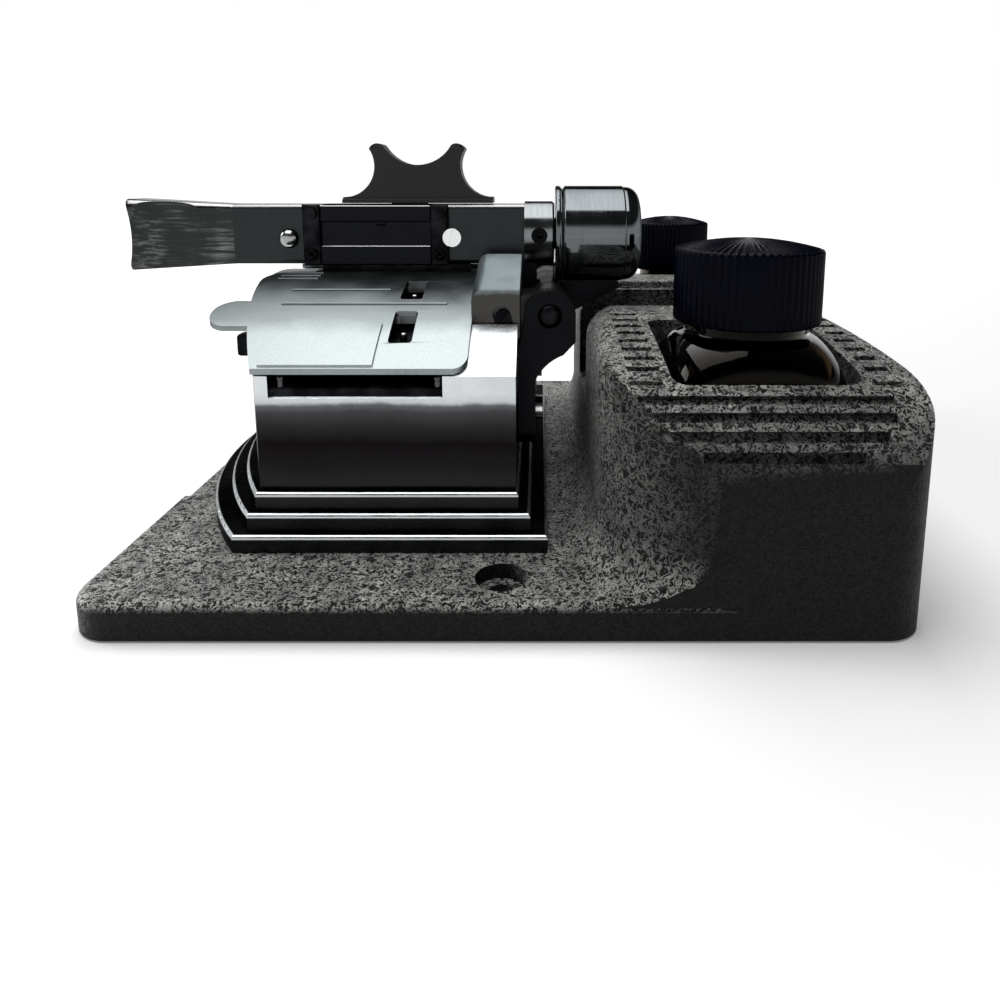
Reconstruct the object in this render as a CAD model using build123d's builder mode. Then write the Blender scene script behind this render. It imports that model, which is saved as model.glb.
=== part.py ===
"""Bench film splicer on a cast base, with two cement bottles at its right.

Frame: the origin is the centre of the footprint at table level, +X runs along the
arm to the right, +Y to the rear along the film, +Z up.  Everything is millimetres.
"""

from build123d import *
import os
from math import cos, degrees, radians, sin, sqrt

os.makedirs("parts", exist_ok=True)

# ---------------------------------------------------------------- driving sizes
# base casting
BASE_LEFT = -67.0
BASE_RIGHT = 86.25
BASE_HALF_DEPTH = 74.0
BASE_UNDERSIDE = 0.4
PLATE_TOP = 7.0
PLATE_CORNER = 8.0
EDGE_JOG = 1.3
EDGE_JOG_Y = -27.0

# raised bottle housing on the right of the base
HOUSING_LEFT = 28.6
HOUSING_CREST = 50.0
HOUSING_SHOULDER = 42.4
HOUSING_CORNER = 24.0
POCKET_SIZE = 35.0
POCKET_X = 58.6
POCKET_Y = 45.5
POCKET_FLOOR = 9.0
WELL_HALF_WIDTH = 13.6
WELL_RIGHT = 55.0
WELL_FLOOR = 26.0

# film bed: a shallow arch along Y
ARCH_CENTRE_Z = -29.5
CLAMP_TOP_RADIUS = 87.5
CLAMP_THICKNESS = 1.0
CLAMP_GAP = 0.3
RAIL_RADIUS = CLAMP_TOP_RADIUS - CLAMP_THICKNESS - CLAMP_GAP
BED_RADIUS = 83.7
BED_THICKNESS = 1.2
CHANNEL_LEFT = -37.25
CHANNEL_WIDTH = 35.0
CHANNEL_RIGHT = CHANNEL_LEFT + CHANNEL_WIDTH
BODY_HALF_DEPTH = 49.0
BODY_RIGHT = 12.4
BODY_FOOT_Z = PLATE_TOP
PLINTH_STEP = 3.6
CROWN_GAP = 8.5
FILM_PITCH = 7.62
PIN_X = -11.8
PIN_ROW_Y = 30.0

# hinge line of the arm and both clamps
HINGE_X = 19.45
HINGE_Z = 50.1
HINGE_PIN_RADIUS = 2.0
RUNNING_GAP = 0.05
EAR_RADIUS = 5.8
KNUCKLE_RADIUS = 5.2

# clamps
CLAMP_INNER_Y = 8.9
CLAMP_RIGHT = 2.6
KNUCKLE_LEFT = 2.35
KNUCKLE_RIGHT = 12.85
KNUCKLE_FRONT_Y = -34.0
KNUCKLE_REAR_Y = -13.3
KNUCKLE_BOTTOM = 46.0

# arm and its knob, both on one axis along X
ARM_AXIS_Z = 66.4
ARM_LEFT = -60.0
ARM_RIGHT = 13.35
ARM_BOTTOM = 59.0
ARM_TOP = 74.0
ARM_HALF_WIDTH = 5.0
SLIDE_LEFT = -37.75
SLIDE_RIGHT = -9.95
HANDLE_TIP = -86.25
COLLAR_RIGHT = 20.85
COLLAR_RADIUS = 8.3
KNOB_RADIUS = 12.2
KNOB_LEFT = 21.1
KNOB_SEAM = 38.4
KNOB_TIP = 42.4
SPINDLE_RADIUS = 4.0

# bottles
BOTTLE_WIDTH = 33.4
BOTTLE_BOTTOM = POCKET_FLOOR
BOTTLE_SHOULDER = 43.5
BOTTLE_NECK_Z = 50.5
BOTTLE_WALL = 2.2

# ---------------------------------------------------------------- worked-out places
SHOULDER_RADIUS = 8.0
NOSE_RADIUS = 20.0
PLATE_EDGE = 1.6
SKIRT_RADIUS = 9.0
SKIRT_HEIGHTS = (0.0, 0.8, 2.0, 4.2, 9.0)
CREST_RADIUS = (BASE_HALF_DEPTH**2 + (HOUSING_CREST - HOUSING_SHOULDER) ** 2) / (
    2 * (HOUSING_CREST - HOUSING_SHOULDER)
)
NOSE_CENTRE_Y = BASE_HALF_DEPTH - NOSE_RADIUS
NOSE_CENTRE_Z = HOUSING_CREST - CREST_RADIUS + sqrt((CREST_RADIUS - NOSE_RADIUS) ** 2 - NOSE_CENTRE_Y**2)
NOSE_GROOVE_START = 22.7
NOSE_GROOVE_STEP = 10.1
NOSE_GROOVE_ENDS = ((45.0, 73.0), (38.5, 77.5), (35.0, 79.5), (34.5, 80.0))
RIB_WIDTH = 1.9
RIB_DEPTH = 1.2
STRIP_GROOVES = 9
STRIP_PITCH = 5.0
STRIP_ENDS = ((33.5, 39.5), (77.7, 82.0))

BASE_HOLE_X = 9.95
BASE_HOLE_Y = 64.3
BASE_HOLE_RADIUS = 2.6
BASE_HOLE_HEAD_RADIUS = 4.9
BASE_HOLE_HEAD_DEPTH = 3.0
FOOT_RADIUS = 6.0
FOOT_RECESS = 2.2
FOOT_PLACES = ((-56.0, -62.0), (-56.0, 62.0), (75.0, -62.0), (75.0, 62.0))

# plinth steps, lowest first: half depth, right side, left corner, left apex
PLINTH = (
    (55.3, 18.8, -43.8, -62.8),
    (53.2, 15.3, -41.4, -58.7),
    (51.1, 12.9, -40.3, -54.6),
)
PLINTH_NOSE = 0.9
BODY_CORNER = -39.9
BODY_APEX = -50.5
BODY_SCREW_RADIUS = 2.0
BODY_SCREW_HEAD_RADIUS = 3.6
BODY_SCREW_PLACES = ((-26.0, -28.0), (-26.0, 28.0), (-2.0, -28.0), (-2.0, 28.0))
NOTCH_LEFT = 1.25
NOTCH_FLOOR = 45.5
NOTCH_HALF = 35.0
CROWN_LEFT = -41.0
ANVIL_BOTTOM = 51.5
ANVIL_TOP = 54.0
FIXED_BLADE_Y = -1.2
FIXED_BLADE_THICKNESS = 1.2
FIXED_BLADE_DEPTH = 1.5

FILM_PIN_RADIUS = 0.75
FILM_PIN_HEIGHT = 2.7
FILM_PIN_PLACES = tuple(
    (PIN_X, side * (PIN_ROW_Y + offset)) for side in (-1, 1) for offset in (-FILM_PITCH, FILM_PITCH)
)
FILM_GUIDE_RADIUS = 0.85
GUIDE_X = (-35.1, -3.4)
GUIDE_Y = 47.4
GUIDE_PLACES = tuple((x, side * GUIDE_Y) for side in (-1, 1) for x in GUIDE_X)

BRACKET_BOTTOM = 20.0
BRACKET_TOP = 43.6
BRACKET_HALF = 30.0
BRACKET_THICKNESS = 3.8
BRACKET_SCREW_RADIUS = 1.4
BRACKET_SCREW_PLACES = ((-20.0, 26.0), (20.0, 26.0), (-8.0, 36.0), (8.0, 36.0))
EAR_OUTER = 30.0
EAR_THICKNESS = 4.0
PIN_HEAD_RADIUS = 2.7
PIN_HEAD_HEIGHT = 1.6

TAB_Y = -33.0
PAD_LEFT = -39.2
PAD_WIDTH = 22.9
BEAD_RADIUS = 0.55
# stiffening beads: place along the film, left end, right end
CLAMP_BEADS = (
    (-29.5, -40.2, -3.4),
    (-22.8, -39.8, -17.2),
    (-15.6, -45.6, -36.0),
    (-13.2, -45.6, -36.0),
    (-10.8, -45.6, -36.0),
)
CLAMP_SLOT_PLACES = tuple((PIN_X, -PIN_ROW_Y + offset) for offset in (-FILM_PITCH, FILM_PITCH))
SLOT_WIDTH = 5.0
SLOT_LENGTH = 10.2
PRESSER_GAP = 0.65
KNUCKLE_FRONT_TOP = 56.6
KNUCKLE_REAR_TOP = 62.4
EAR_LENGTH = 12.3
CLAMP_SCREW_X = 9.15
CLAMP_SCREW_Z = 50.4

ARM_BACK = 2.4
ROD_RADIUS = 1.5
ROD_BITE = 5.0
ROD_PLACES = ((-1.2, 63.6), (-1.2, 69.4))
SPINDLE_BITE = 12.0
SPINDLE_END = 34.0
FRONT_SHANK_RADIUS = 0.9
COLLAR_HOLE_RADIUS = 2.0
CASTING_HALF = 4.0
BOSS_HALF = 12.9
END_BLOCK_X = (-39.9, -7.9)
END_BLOCK_WIDTH = 4.3
END_BLOCK_HEIGHT = 15.2
END_BLOCK_THICKNESS = 1.8
END_SCREW_PLACES = ((-39.9, 71.8), (-7.9, 71.8))
COVER_LEFT = END_BLOCK_X[0] + END_BLOCK_WIDTH / 2
COVER_RIGHT = END_BLOCK_X[1] - END_BLOCK_WIDTH / 2
COVER_HEIGHT = 9.6
COVER_Z = 68.4
HANDLE_PIN_PLACE = (-46.0, 65.5)
ARM_SCREW_PLACE = (-4.8, 65.8)
ARM_SCREW_HEAD_RADIUS = 2.3
FRONT_HOLES = END_SCREW_PLACES + (HANDLE_PIN_PLACE, ARM_SCREW_PLACE)
CUTTER_LEFT = -37.9
CUTTER_RIGHT = -0.5
CUTTER_FRONT = 4.8
CUTTER_BACK = 2.0
CUTTER_EDGE_Z = 54.7

SPRING_LENGTH = 9.0
SPRING_TURNS = 4
SPRING_RADIUS = 6.2
SPRING_WIRE_RADIUS = 0.65

CARRIAGE_WIDTH = 11.0
CARRIAGE_X = SLIDE_RIGHT - CARRIAGE_WIDTH / 2 - 0.5
CARRIAGE_FRONT = -4.4
CARRIAGE_BACK = 2.1
CARRIAGE_BOTTOM = 60.6
CARRIAGE_TOP = 72.4
BLADE_Y = 0.6
BLADE_THICKNESS = 1.0
BLADE_EDGE_Z = 54.9
GRIP_X = -13.6
GRIP_HALF = 3.0
GRIP_FOOT_Z = 74.3
GRIP_WAIST_Z = 82.4
SADDLE_Z = 83.8
HORN_TOP = 89.0

# side of the housing, cap radius, neck radius
BOTTLES = ((-1, 15.2, 12.4), (1, 12.0, 9.6))
BOTTLE_LIP_Z = 60.0
CAP_BOTTOM = 52.4
CAP_TOP = 67.6
CAP_CROWN = 1.4
CAP_FLUTES = 60
FLUTE_DEPTH = 0.5
LINER_THICKNESS = 1.2
BRUSH_TUFT_TOP = 28.0


def housing_z(y):
    """Height of the top of the bottle housing at the place y."""
    return HOUSING_CREST - CREST_RADIUS + sqrt(CREST_RADIUS**2 - y**2)


def plate_outline():
    """Plan of the base: rounded corners and a small jog in the left edge."""
    with BuildSketch() as outline:
        with BuildLine():
            Polyline(
                (BASE_LEFT, -BASE_HALF_DEPTH),
                (BASE_RIGHT, -BASE_HALF_DEPTH),
                (BASE_RIGHT, BASE_HALF_DEPTH),
                (BASE_LEFT + EDGE_JOG, BASE_HALF_DEPTH),
                (BASE_LEFT + EDGE_JOG, EDGE_JOG_Y),
                (BASE_LEFT, EDGE_JOG_Y),
                close=True,
            )
        make_face()
        ends = outline.vertices().group_by(Axis.Y)
        fillet(ends[0] + ends[-1], PLATE_CORNER)
    return outline.sketch


def arch_z(radius, y):
    """Height of an arch of this radius at the place y along the film."""
    return ARCH_CENTRE_Z + sqrt(radius**2 - y**2)


def plinth_outline(half_depth, right, corner, apex):
    """Plan of the splicer body: straight at the front, rear and right, bowed at the left."""
    with BuildSketch() as outline:
        with BuildLine():
            bow = ThreePointArc((corner, half_depth), (apex, 0), (corner, -half_depth))
            Polyline(bow @ 1, (right, -half_depth), (right, half_depth), bow @ 0)
        make_face()
    return outline.sketch


def arch_band(outer, inner, y_start, y_end):
    """Section of an arched sheet between two places along the film, height as local Y."""
    middle = (y_start + y_end) / 2
    with BuildSketch() as band:
        with BuildLine():
            top = ThreePointArc(
                (y_start, arch_z(outer, y_start)),
                (middle, arch_z(outer, middle)),
                (y_end, arch_z(outer, y_end)),
            )
            under = ThreePointArc(
                (y_end, arch_z(inner, y_end)),
                (middle, arch_z(inner, middle)),
                (y_start, arch_z(inner, y_start)),
            )
            Line(top @ 1, under @ 0)
            Line(under @ 1, top @ 0)
        make_face()
    return band.sketch


# ================================================================ base casting
# bottle housing: its plan, cut to the arched side profile and to rounded shoulders
with BuildPart() as housing_block:
    with BuildSketch(Plane.XY.offset(BASE_UNDERSIDE)) as housing_plan:
        with Locations(((HOUSING_LEFT + BASE_RIGHT) / 2, 0)):
            Rectangle(BASE_RIGHT - HOUSING_LEFT, 2 * BASE_HALF_DEPTH)
        fillet(housing_plan.vertices().group_by(Axis.X)[0], HOUSING_CORNER)
        fillet(housing_plan.vertices().group_by(Axis.X)[-1], PLATE_CORNER)
    extrude(amount=HOUSING_CREST)
    with BuildSketch(Plane.YZ) as side_profile:
        with BuildLine():
            crest = ThreePointArc(
                (-BASE_HALF_DEPTH, HOUSING_SHOULDER),
                (0, HOUSING_CREST),
                (BASE_HALF_DEPTH, HOUSING_SHOULDER),
            )
            Polyline(crest @ 1, (BASE_HALF_DEPTH, 0), (-BASE_HALF_DEPTH, 0), crest @ 0)
        make_face()
        shoulder_points = side_profile.vertices().filter_by_position(Axis.Y, 30, 60)
        fillet(shoulder_points, NOSE_RADIUS)
    extrude(amount=BASE_RIGHT, mode=Mode.INTERSECT)
    with BuildSketch(Plane.XZ.offset(-BASE_HALF_DEPTH)) as front_profile:
        with Locations(((HOUSING_LEFT + BASE_RIGHT) / 2, HOUSING_CREST / 2)):
            Rectangle(BASE_RIGHT - HOUSING_LEFT, HOUSING_CREST)
        fillet(front_profile.vertices().group_by(Axis.Y)[-1], SHOULDER_RADIUS)
    extrude(amount=2 * BASE_HALF_DEPTH, mode=Mode.INTERSECT)

with BuildPart() as plate_block:
    with BuildSketch(Plane.XY.offset(BASE_UNDERSIDE)) as plate_plan:
        add(plate_outline())
    extrude(amount=PLATE_TOP - BASE_UNDERSIDE)
    fillet(plate_block.faces().sort_by(Axis.Z)[-1].edges(), PLATE_EDGE)

with BuildPart() as base_casting:
    # concave skirt where the housing meets the plate, kept inside the plan of the base
    for low, high in zip(SKIRT_HEIGHTS[:-1], SKIRT_HEIGHTS[1:]):
        for height in (low, high):
            outset = SKIRT_RADIUS - sqrt(SKIRT_RADIUS**2 - (SKIRT_RADIUS - height) ** 2)
            left = HOUSING_LEFT - outset
            with BuildSketch(Plane.XY.offset(PLATE_TOP - 0.4 + height)) as skirt_plan:
                with Locations(((left + BASE_RIGHT) / 2, 0)):
                    Rectangle(BASE_RIGHT - left, 2 * (BASE_HALF_DEPTH + outset))
                fillet(skirt_plan.vertices().group_by(Axis.X)[0], HOUSING_CORNER + outset)
        loft()
    with BuildSketch(Plane.XY) as base_plan:
        add(plate_outline())
    extrude(amount=HOUSING_CREST, mode=Mode.INTERSECT)
    add(plate_block.part)
    add(housing_block.part)

    # square pockets for the bottles, and the well that the arm's knob swings into
    with BuildSketch(Plane.XY.offset(HOUSING_CREST)) as pocket_plan:
        with Locations((POCKET_X, -POCKET_Y), (POCKET_X, POCKET_Y)):
            RectangleRounded(POCKET_SIZE, POCKET_SIZE, 3)
    extrude(amount=POCKET_FLOOR - HOUSING_CREST, mode=Mode.SUBTRACT)
    with BuildSketch(Plane.XZ.offset(-WELL_HALF_WIDTH)) as well_section:
        with BuildLine():
            Polyline(
                (HOUSING_LEFT - 12, HOUSING_CREST + 5),
                (HOUSING_LEFT - 12, WELL_FLOOR),
                (WELL_RIGHT, WELL_FLOOR),
                (WELL_RIGHT, HOUSING_CREST + 5),
                close=True,
            )
        make_face()
        fillet(well_section.vertices().group_by(Axis.X)[-1].sort_by(Axis.Y)[0], 8)
    extrude(amount=2 * WELL_HALF_WIDTH, mode=Mode.SUBTRACT)

    # finger ribs: grooves across the nose in front of each pocket
    for side in (-1, 1):
        for step in range(len(NOSE_GROOVE_ENDS)):
            tilt = radians(NOSE_GROOVE_START + step * NOSE_GROOVE_STEP)
            groove_y = side * (NOSE_CENTRE_Y + NOSE_RADIUS * cos(tilt))
            groove_z = NOSE_CENTRE_Z + NOSE_RADIUS * sin(tilt)
            left, right = NOSE_GROOVE_ENDS[step]
            with Locations(Location(((left + right) / 2, groove_y, groove_z), (side * degrees(tilt), 0, 0))):
                Box(right - left, 2 * RIB_DEPTH, RIB_WIDTH, mode=Mode.SUBTRACT)
        for step in range(STRIP_GROOVES):
            groove_y = side * (POCKET_Y + POCKET_SIZE / 2 - step * STRIP_PITCH)
            groove_z = housing_z(groove_y)
            for left, right in STRIP_ENDS:
                with Locations(((left + right) / 2, groove_y, groove_z)):
                    Box(right - left, RIB_WIDTH, 2 * RIB_DEPTH, mode=Mode.SUBTRACT)

    # screw holes that hold the splicer down
    with Locations((BASE_HOLE_X, -BASE_HOLE_Y, PLATE_TOP), (BASE_HOLE_X, BASE_HOLE_Y, PLATE_TOP)):
        CounterBoreHole(BASE_HOLE_RADIUS, BASE_HOLE_HEAD_RADIUS, BASE_HOLE_HEAD_DEPTH)

    # hollow underside: one cavity below the well, and recesses for the feet
    with BuildSketch(Plane.XY.offset(BASE_UNDERSIDE)) as cavity_plan:
        with Locations(((HOUSING_LEFT + BASE_RIGHT) / 2 + 1, 0)):
            RectangleRounded(BASE_RIGHT - HOUSING_LEFT - 12, 2 * (POCKET_Y - POCKET_SIZE / 2) - 8, 4)
    extrude(amount=WELL_FLOOR - 5, mode=Mode.SUBTRACT)
    with BuildSketch(Plane.XY.offset(BASE_UNDERSIDE)) as foot_recesses:
        with Locations(*FOOT_PLACES):
            Circle(FOOT_RADIUS + 0.1)
    extrude(amount=FOOT_RECESS, mode=Mode.SUBTRACT)
    # clearance holes for the screws that come up into the splicer body
    with BuildSketch(Plane.XY.offset(BASE_UNDERSIDE)) as body_screw_holes:
        with Locations(*BODY_SCREW_PLACES):
            Circle(BODY_SCREW_RADIUS + 0.2)
    extrude(amount=PLATE_TOP, mode=Mode.SUBTRACT)
    with BuildSketch(Plane.XY.offset(BASE_UNDERSIDE)) as body_screw_heads:
        with Locations(*BODY_SCREW_PLACES):
            Circle(BODY_SCREW_HEAD_RADIUS + 0.3)
    extrude(amount=3.2, mode=Mode.SUBTRACT)

base_casting.part.label = "base_casting"
export_step(base_casting.part, "parts/base_casting.step")

with BuildPart() as rubber_feet:
    with BuildSketch(Plane.XY) as feet_plan:
        with Locations(*FOOT_PLACES):
            Circle(FOOT_RADIUS)
    extrude(amount=BASE_UNDERSIDE + FOOT_RECESS)

rubber_feet.part.label = "rubber_feet"
export_step(rubber_feet.part, "parts/rubber_feet.step")

# ================================================================ splicer body
with BuildPart() as splicer_body:
    # three plinth steps, then the body up to the arch
    for step, (half_depth, right, corner, apex) in enumerate(PLINTH):
        with BuildSketch(Plane.XY.offset(BODY_FOOT_Z + step * PLINTH_STEP)):
            add(plinth_outline(half_depth, right, corner, apex))
        extrude(amount=PLINTH_STEP)
        nose = splicer_body.faces().sort_by(Axis.Z)[-1].outer_wire().edges()
        fillet(nose, PLINTH_NOSE)
    with BuildSketch(Plane.XY.offset(BODY_FOOT_Z + len(PLINTH) * PLINTH_STEP)):
        add(plinth_outline(BODY_HALF_DEPTH, BODY_RIGHT, BODY_CORNER, BODY_APEX))
    extrude(amount=60)
    # everything above the arch goes
    with BuildSketch(Plane.YZ.offset(-80)) as above_arch:
        add(arch_band(RAIL_RADIUS + 40, RAIL_RADIUS, -BODY_HALF_DEPTH - 15, BODY_HALF_DEPTH + 15))
    extrude(amount=160, mode=Mode.SUBTRACT)
    # film channel
    with BuildSketch(Plane.YZ.offset(CHANNEL_LEFT)) as channel_section:
        add(arch_band(RAIL_RADIUS + 5, BED_RADIUS - BED_THICKNESS, -BODY_HALF_DEPTH - 5, BODY_HALF_DEPTH + 5))
    extrude(amount=CHANNEL_WIDTH, mode=Mode.SUBTRACT)
    # notch for the clamp knuckles at the right
    with Locations(((NOTCH_LEFT + BODY_RIGHT) / 2 + 5, 0, NOTCH_FLOOR)):
        Box(
            BODY_RIGHT - NOTCH_LEFT + 10,
            2 * NOTCH_HALF,
            30,
            align=(Align.CENTER, Align.CENTER, Align.MIN),
            mode=Mode.SUBTRACT,
        )
    # cross slot at the crown for the cutter anvil
    with Locations(((CROWN_LEFT + NOTCH_LEFT) / 2, 0, ANVIL_BOTTOM)):
        Box(
            NOTCH_LEFT - CROWN_LEFT,
            2 * CROWN_GAP,
            30,
            align=(Align.CENTER, Align.CENTER, Align.MIN),
            mode=Mode.SUBTRACT,
        )
    # hollow inside
    with BuildSketch(Plane.XY.offset(BODY_FOOT_Z)) as body_cavity:
        with Locations(((BODY_CORNER + BODY_RIGHT) / 2, 0)):
            RectangleRounded(BODY_RIGHT - BODY_CORNER - 12, 2 * BODY_HALF_DEPTH - 14, 4)
        with Locations(*BODY_SCREW_PLACES):
            Circle(5, mode=Mode.SUBTRACT)
    extrude(amount=24, mode=Mode.SUBTRACT)
    with BuildSketch(Plane.XY.offset(BODY_FOOT_Z)) as body_threads:
        with Locations(*BODY_SCREW_PLACES):
            Circle(BODY_SCREW_RADIUS)
    extrude(amount=9, mode=Mode.SUBTRACT)
    with BuildSketch(Plane.YZ.offset(BODY_RIGHT)) as bracket_threads:
        with Locations(*BRACKET_SCREW_PLACES):
            Circle(BRACKET_SCREW_RADIUS)
    extrude(amount=-4, mode=Mode.SUBTRACT)
    with BuildSketch(Plane.XY.offset(30)) as pin_holes:
        with Locations(*FILM_PIN_PLACES, *GUIDE_PLACES):
            Circle(FILM_PIN_RADIUS)
    extrude(amount=40, mode=Mode.SUBTRACT)

splicer_body.part.label = "splicer_body"
export_step(splicer_body.part, "parts/splicer_body.step")

with BuildPart() as body_screws:
    with BuildSketch(Plane.XY.offset(0.6)) as body_screw_head_plan:
        with Locations(*BODY_SCREW_PLACES):
            Circle(BODY_SCREW_HEAD_RADIUS)
    extrude(amount=3.0)
    with BuildSketch(Plane.XY.offset(3.6)) as body_screw_shanks:
        with Locations(*BODY_SCREW_PLACES):
            Circle(BODY_SCREW_RADIUS)
    extrude(amount=11.5)

body_screws.part.label = "body_screws"
export_step(body_screws.part, "parts/body_screws.step")

# film bed: dark arched strips in the channel, drilled for the registration pins
with BuildPart() as front_film_bed:
    with BuildSketch(Plane.YZ.offset(CHANNEL_LEFT + 0.1)) as bed_section:
        add(arch_band(BED_RADIUS, BED_RADIUS - BED_THICKNESS, -BODY_HALF_DEPTH + 0.4, -CROWN_GAP))
    extrude(amount=CHANNEL_WIDTH - 0.2)
    with BuildSketch(Plane.XY.offset(30)) as bed_holes:
        with Locations(*FILM_PIN_PLACES, *GUIDE_PLACES):
            Circle(FILM_PIN_RADIUS)
    extrude(amount=40, mode=Mode.SUBTRACT)

front_film_bed.part.label = "front_film_bed"
export_step(front_film_bed.part, "parts/front_film_bed.step")

with BuildPart() as rear_film_bed:
    mirror(front_film_bed.part, about=Plane.XZ)

rear_film_bed.part.label = "rear_film_bed"
export_step(rear_film_bed.part, "parts/rear_film_bed.step")

# registration pins, one in each slot of the clamps
with BuildPart() as film_pins:
    for x, y in FILM_PIN_PLACES:
        with BuildSketch(Plane.XY.offset(arch_z(BED_RADIUS, y) - 4)):
            with Locations((x, y)):
                Circle(FILM_PIN_RADIUS)
        extrude(amount=4 + FILM_PIN_HEIGHT)
        fillet(film_pins.faces(Select.LAST).sort_by(Axis.Z)[-1].edges(), 0.5)

film_pins.part.label = "film_pins"
export_step(film_pins.part, "parts/film_pins.step")

# ball-ended guides at the mouths of the channel
with BuildPart() as film_guides:
    for x, y in GUIDE_PLACES:
        guide_top = arch_z(BED_RADIUS, y) + 1.1
        with BuildSketch(Plane.XY.offset(guide_top - 5)):
            with Locations((x, y)):
                Circle(FILM_PIN_RADIUS)
        extrude(amount=5)
        with Locations((x, y, guide_top)):
            Sphere(FILM_GUIDE_RADIUS)

film_guides.part.label = "film_guides"
export_step(film_guides.part, "parts/film_guides.step")

# cutter anvil across the crown, with the fixed blade let into it
with BuildPart() as cutter_anvil:
    with Locations(((CROWN_LEFT + NOTCH_LEFT) / 2, 0, ANVIL_BOTTOM)):
        Box(
            NOTCH_LEFT - CROWN_LEFT - 0.4,
            2 * CROWN_GAP - 0.3,
            ANVIL_TOP - ANVIL_BOTTOM,
            align=(Align.CENTER, Align.CENTER, Align.MIN),
        )
    with Locations(((CHANNEL_LEFT + CHANNEL_RIGHT) / 2, FIXED_BLADE_Y, ANVIL_TOP)):
        Box(CHANNEL_WIDTH + 1, FIXED_BLADE_THICKNESS, 2 * FIXED_BLADE_DEPTH, mode=Mode.SUBTRACT)

cutter_anvil.part.label = "cutter_anvil"
export_step(cutter_anvil.part, "parts/cutter_anvil.step")

with BuildPart() as fixed_cutter_blade:
    with BuildSketch(Plane.YZ.offset(CHANNEL_LEFT - 0.5)) as fixed_blade_section:
        blade_foot = ANVIL_TOP - FIXED_BLADE_DEPTH
        with BuildLine():
            Polyline(
                (FIXED_BLADE_Y - FIXED_BLADE_THICKNESS / 2, blade_foot),
                (FIXED_BLADE_Y + FIXED_BLADE_THICKNESS / 2, blade_foot),
                (FIXED_BLADE_Y + FIXED_BLADE_THICKNESS / 2, ANVIL_TOP + 0.1),
                (FIXED_BLADE_Y - FIXED_BLADE_THICKNESS / 2, ANVIL_TOP + 0.4),
                close=True,
            )
        make_face()
    extrude(amount=CHANNEL_WIDTH + 1)

fixed_cutter_blade.part.label = "fixed_cutter_blade"
export_step(fixed_cutter_blade.part, "parts/fixed_cutter_blade.step")

# ================================================================ hinge
with BuildPart() as hinge_bracket:
    # plate on the right wall of the body
    with BuildSketch(Plane.YZ.offset(BODY_RIGHT)) as bracket_plate:
        with Locations((0, (BRACKET_BOTTOM + BRACKET_TOP) / 2)):
            RectangleRounded(2 * BRACKET_HALF, BRACKET_TOP - BRACKET_BOTTOM, 3)
    extrude(amount=BRACKET_THICKNESS)
    # an ear at each end that carries the hinge pin
    for ear_rear in (-EAR_OUTER + EAR_THICKNESS, EAR_OUTER):
        with BuildSketch(Plane.XZ.offset(-ear_rear)):
            with BuildLine():
                sweep_up = ThreePointArc(
                    (BODY_RIGHT + BRACKET_THICKNESS - 1, BRACKET_TOP - 13),
                    (HINGE_X - 2.15, BRACKET_TOP - 6.4),
                    (HINGE_X + 3.05, HINGE_Z - 8.9),
                )
                Polyline(
                    sweep_up @ 1,
                    (HINGE_X + EAR_RADIUS, HINGE_Z - 5.9),
                    (HINGE_X + EAR_RADIUS, HINGE_Z),
                    (HINGE_X - EAR_RADIUS + 0.4, HINGE_Z),
                    (BODY_RIGHT, BRACKET_TOP - 1),
                    (BODY_RIGHT, BRACKET_TOP - 13),
                    sweep_up @ 0,
                )
            make_face()
            with Locations((HINGE_X, HINGE_Z)):
                Circle(EAR_RADIUS)
        extrude(amount=EAR_THICKNESS)
    with BuildSketch(Plane.XZ.offset(-EAR_OUTER)) as bracket_bore:
        with Locations((HINGE_X, HINGE_Z)):
            Circle(HINGE_PIN_RADIUS)
    extrude(amount=2 * EAR_OUTER, mode=Mode.SUBTRACT)
    with BuildSketch(Plane.YZ.offset(BODY_RIGHT)) as bracket_screw_holes:
        with Locations(*BRACKET_SCREW_PLACES):
            Circle(BRACKET_SCREW_RADIUS)
    extrude(amount=BRACKET_THICKNESS, mode=Mode.SUBTRACT)

hinge_bracket.part.label = "hinge_bracket"
export_step(hinge_bracket.part, "parts/hinge_bracket.step")

with BuildPart() as bracket_screws:
    bracket_face = BODY_RIGHT + BRACKET_THICKNESS
    with BuildSketch(Plane.YZ.offset(BODY_RIGHT - 3.5)) as bracket_screw_shanks:
        with Locations(*BRACKET_SCREW_PLACES):
            Circle(BRACKET_SCREW_RADIUS)
    extrude(amount=BRACKET_THICKNESS + 3.5)
    with BuildSketch(Plane.YZ.offset(bracket_face)) as bracket_screw_heads:
        with Locations(*BRACKET_SCREW_PLACES):
            Circle(2.9)
    extrude(amount=1.6)
    with BuildSketch(Plane.YZ.offset(bracket_face + 1.0)) as bracket_screw_slots:
        with Locations(*BRACKET_SCREW_PLACES):
            Rectangle(6, 0.8, rotation=35)
    extrude(amount=2, mode=Mode.SUBTRACT)

bracket_screws.part.label = "bracket_screws"
export_step(bracket_screws.part, "parts/bracket_screws.step")

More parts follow.
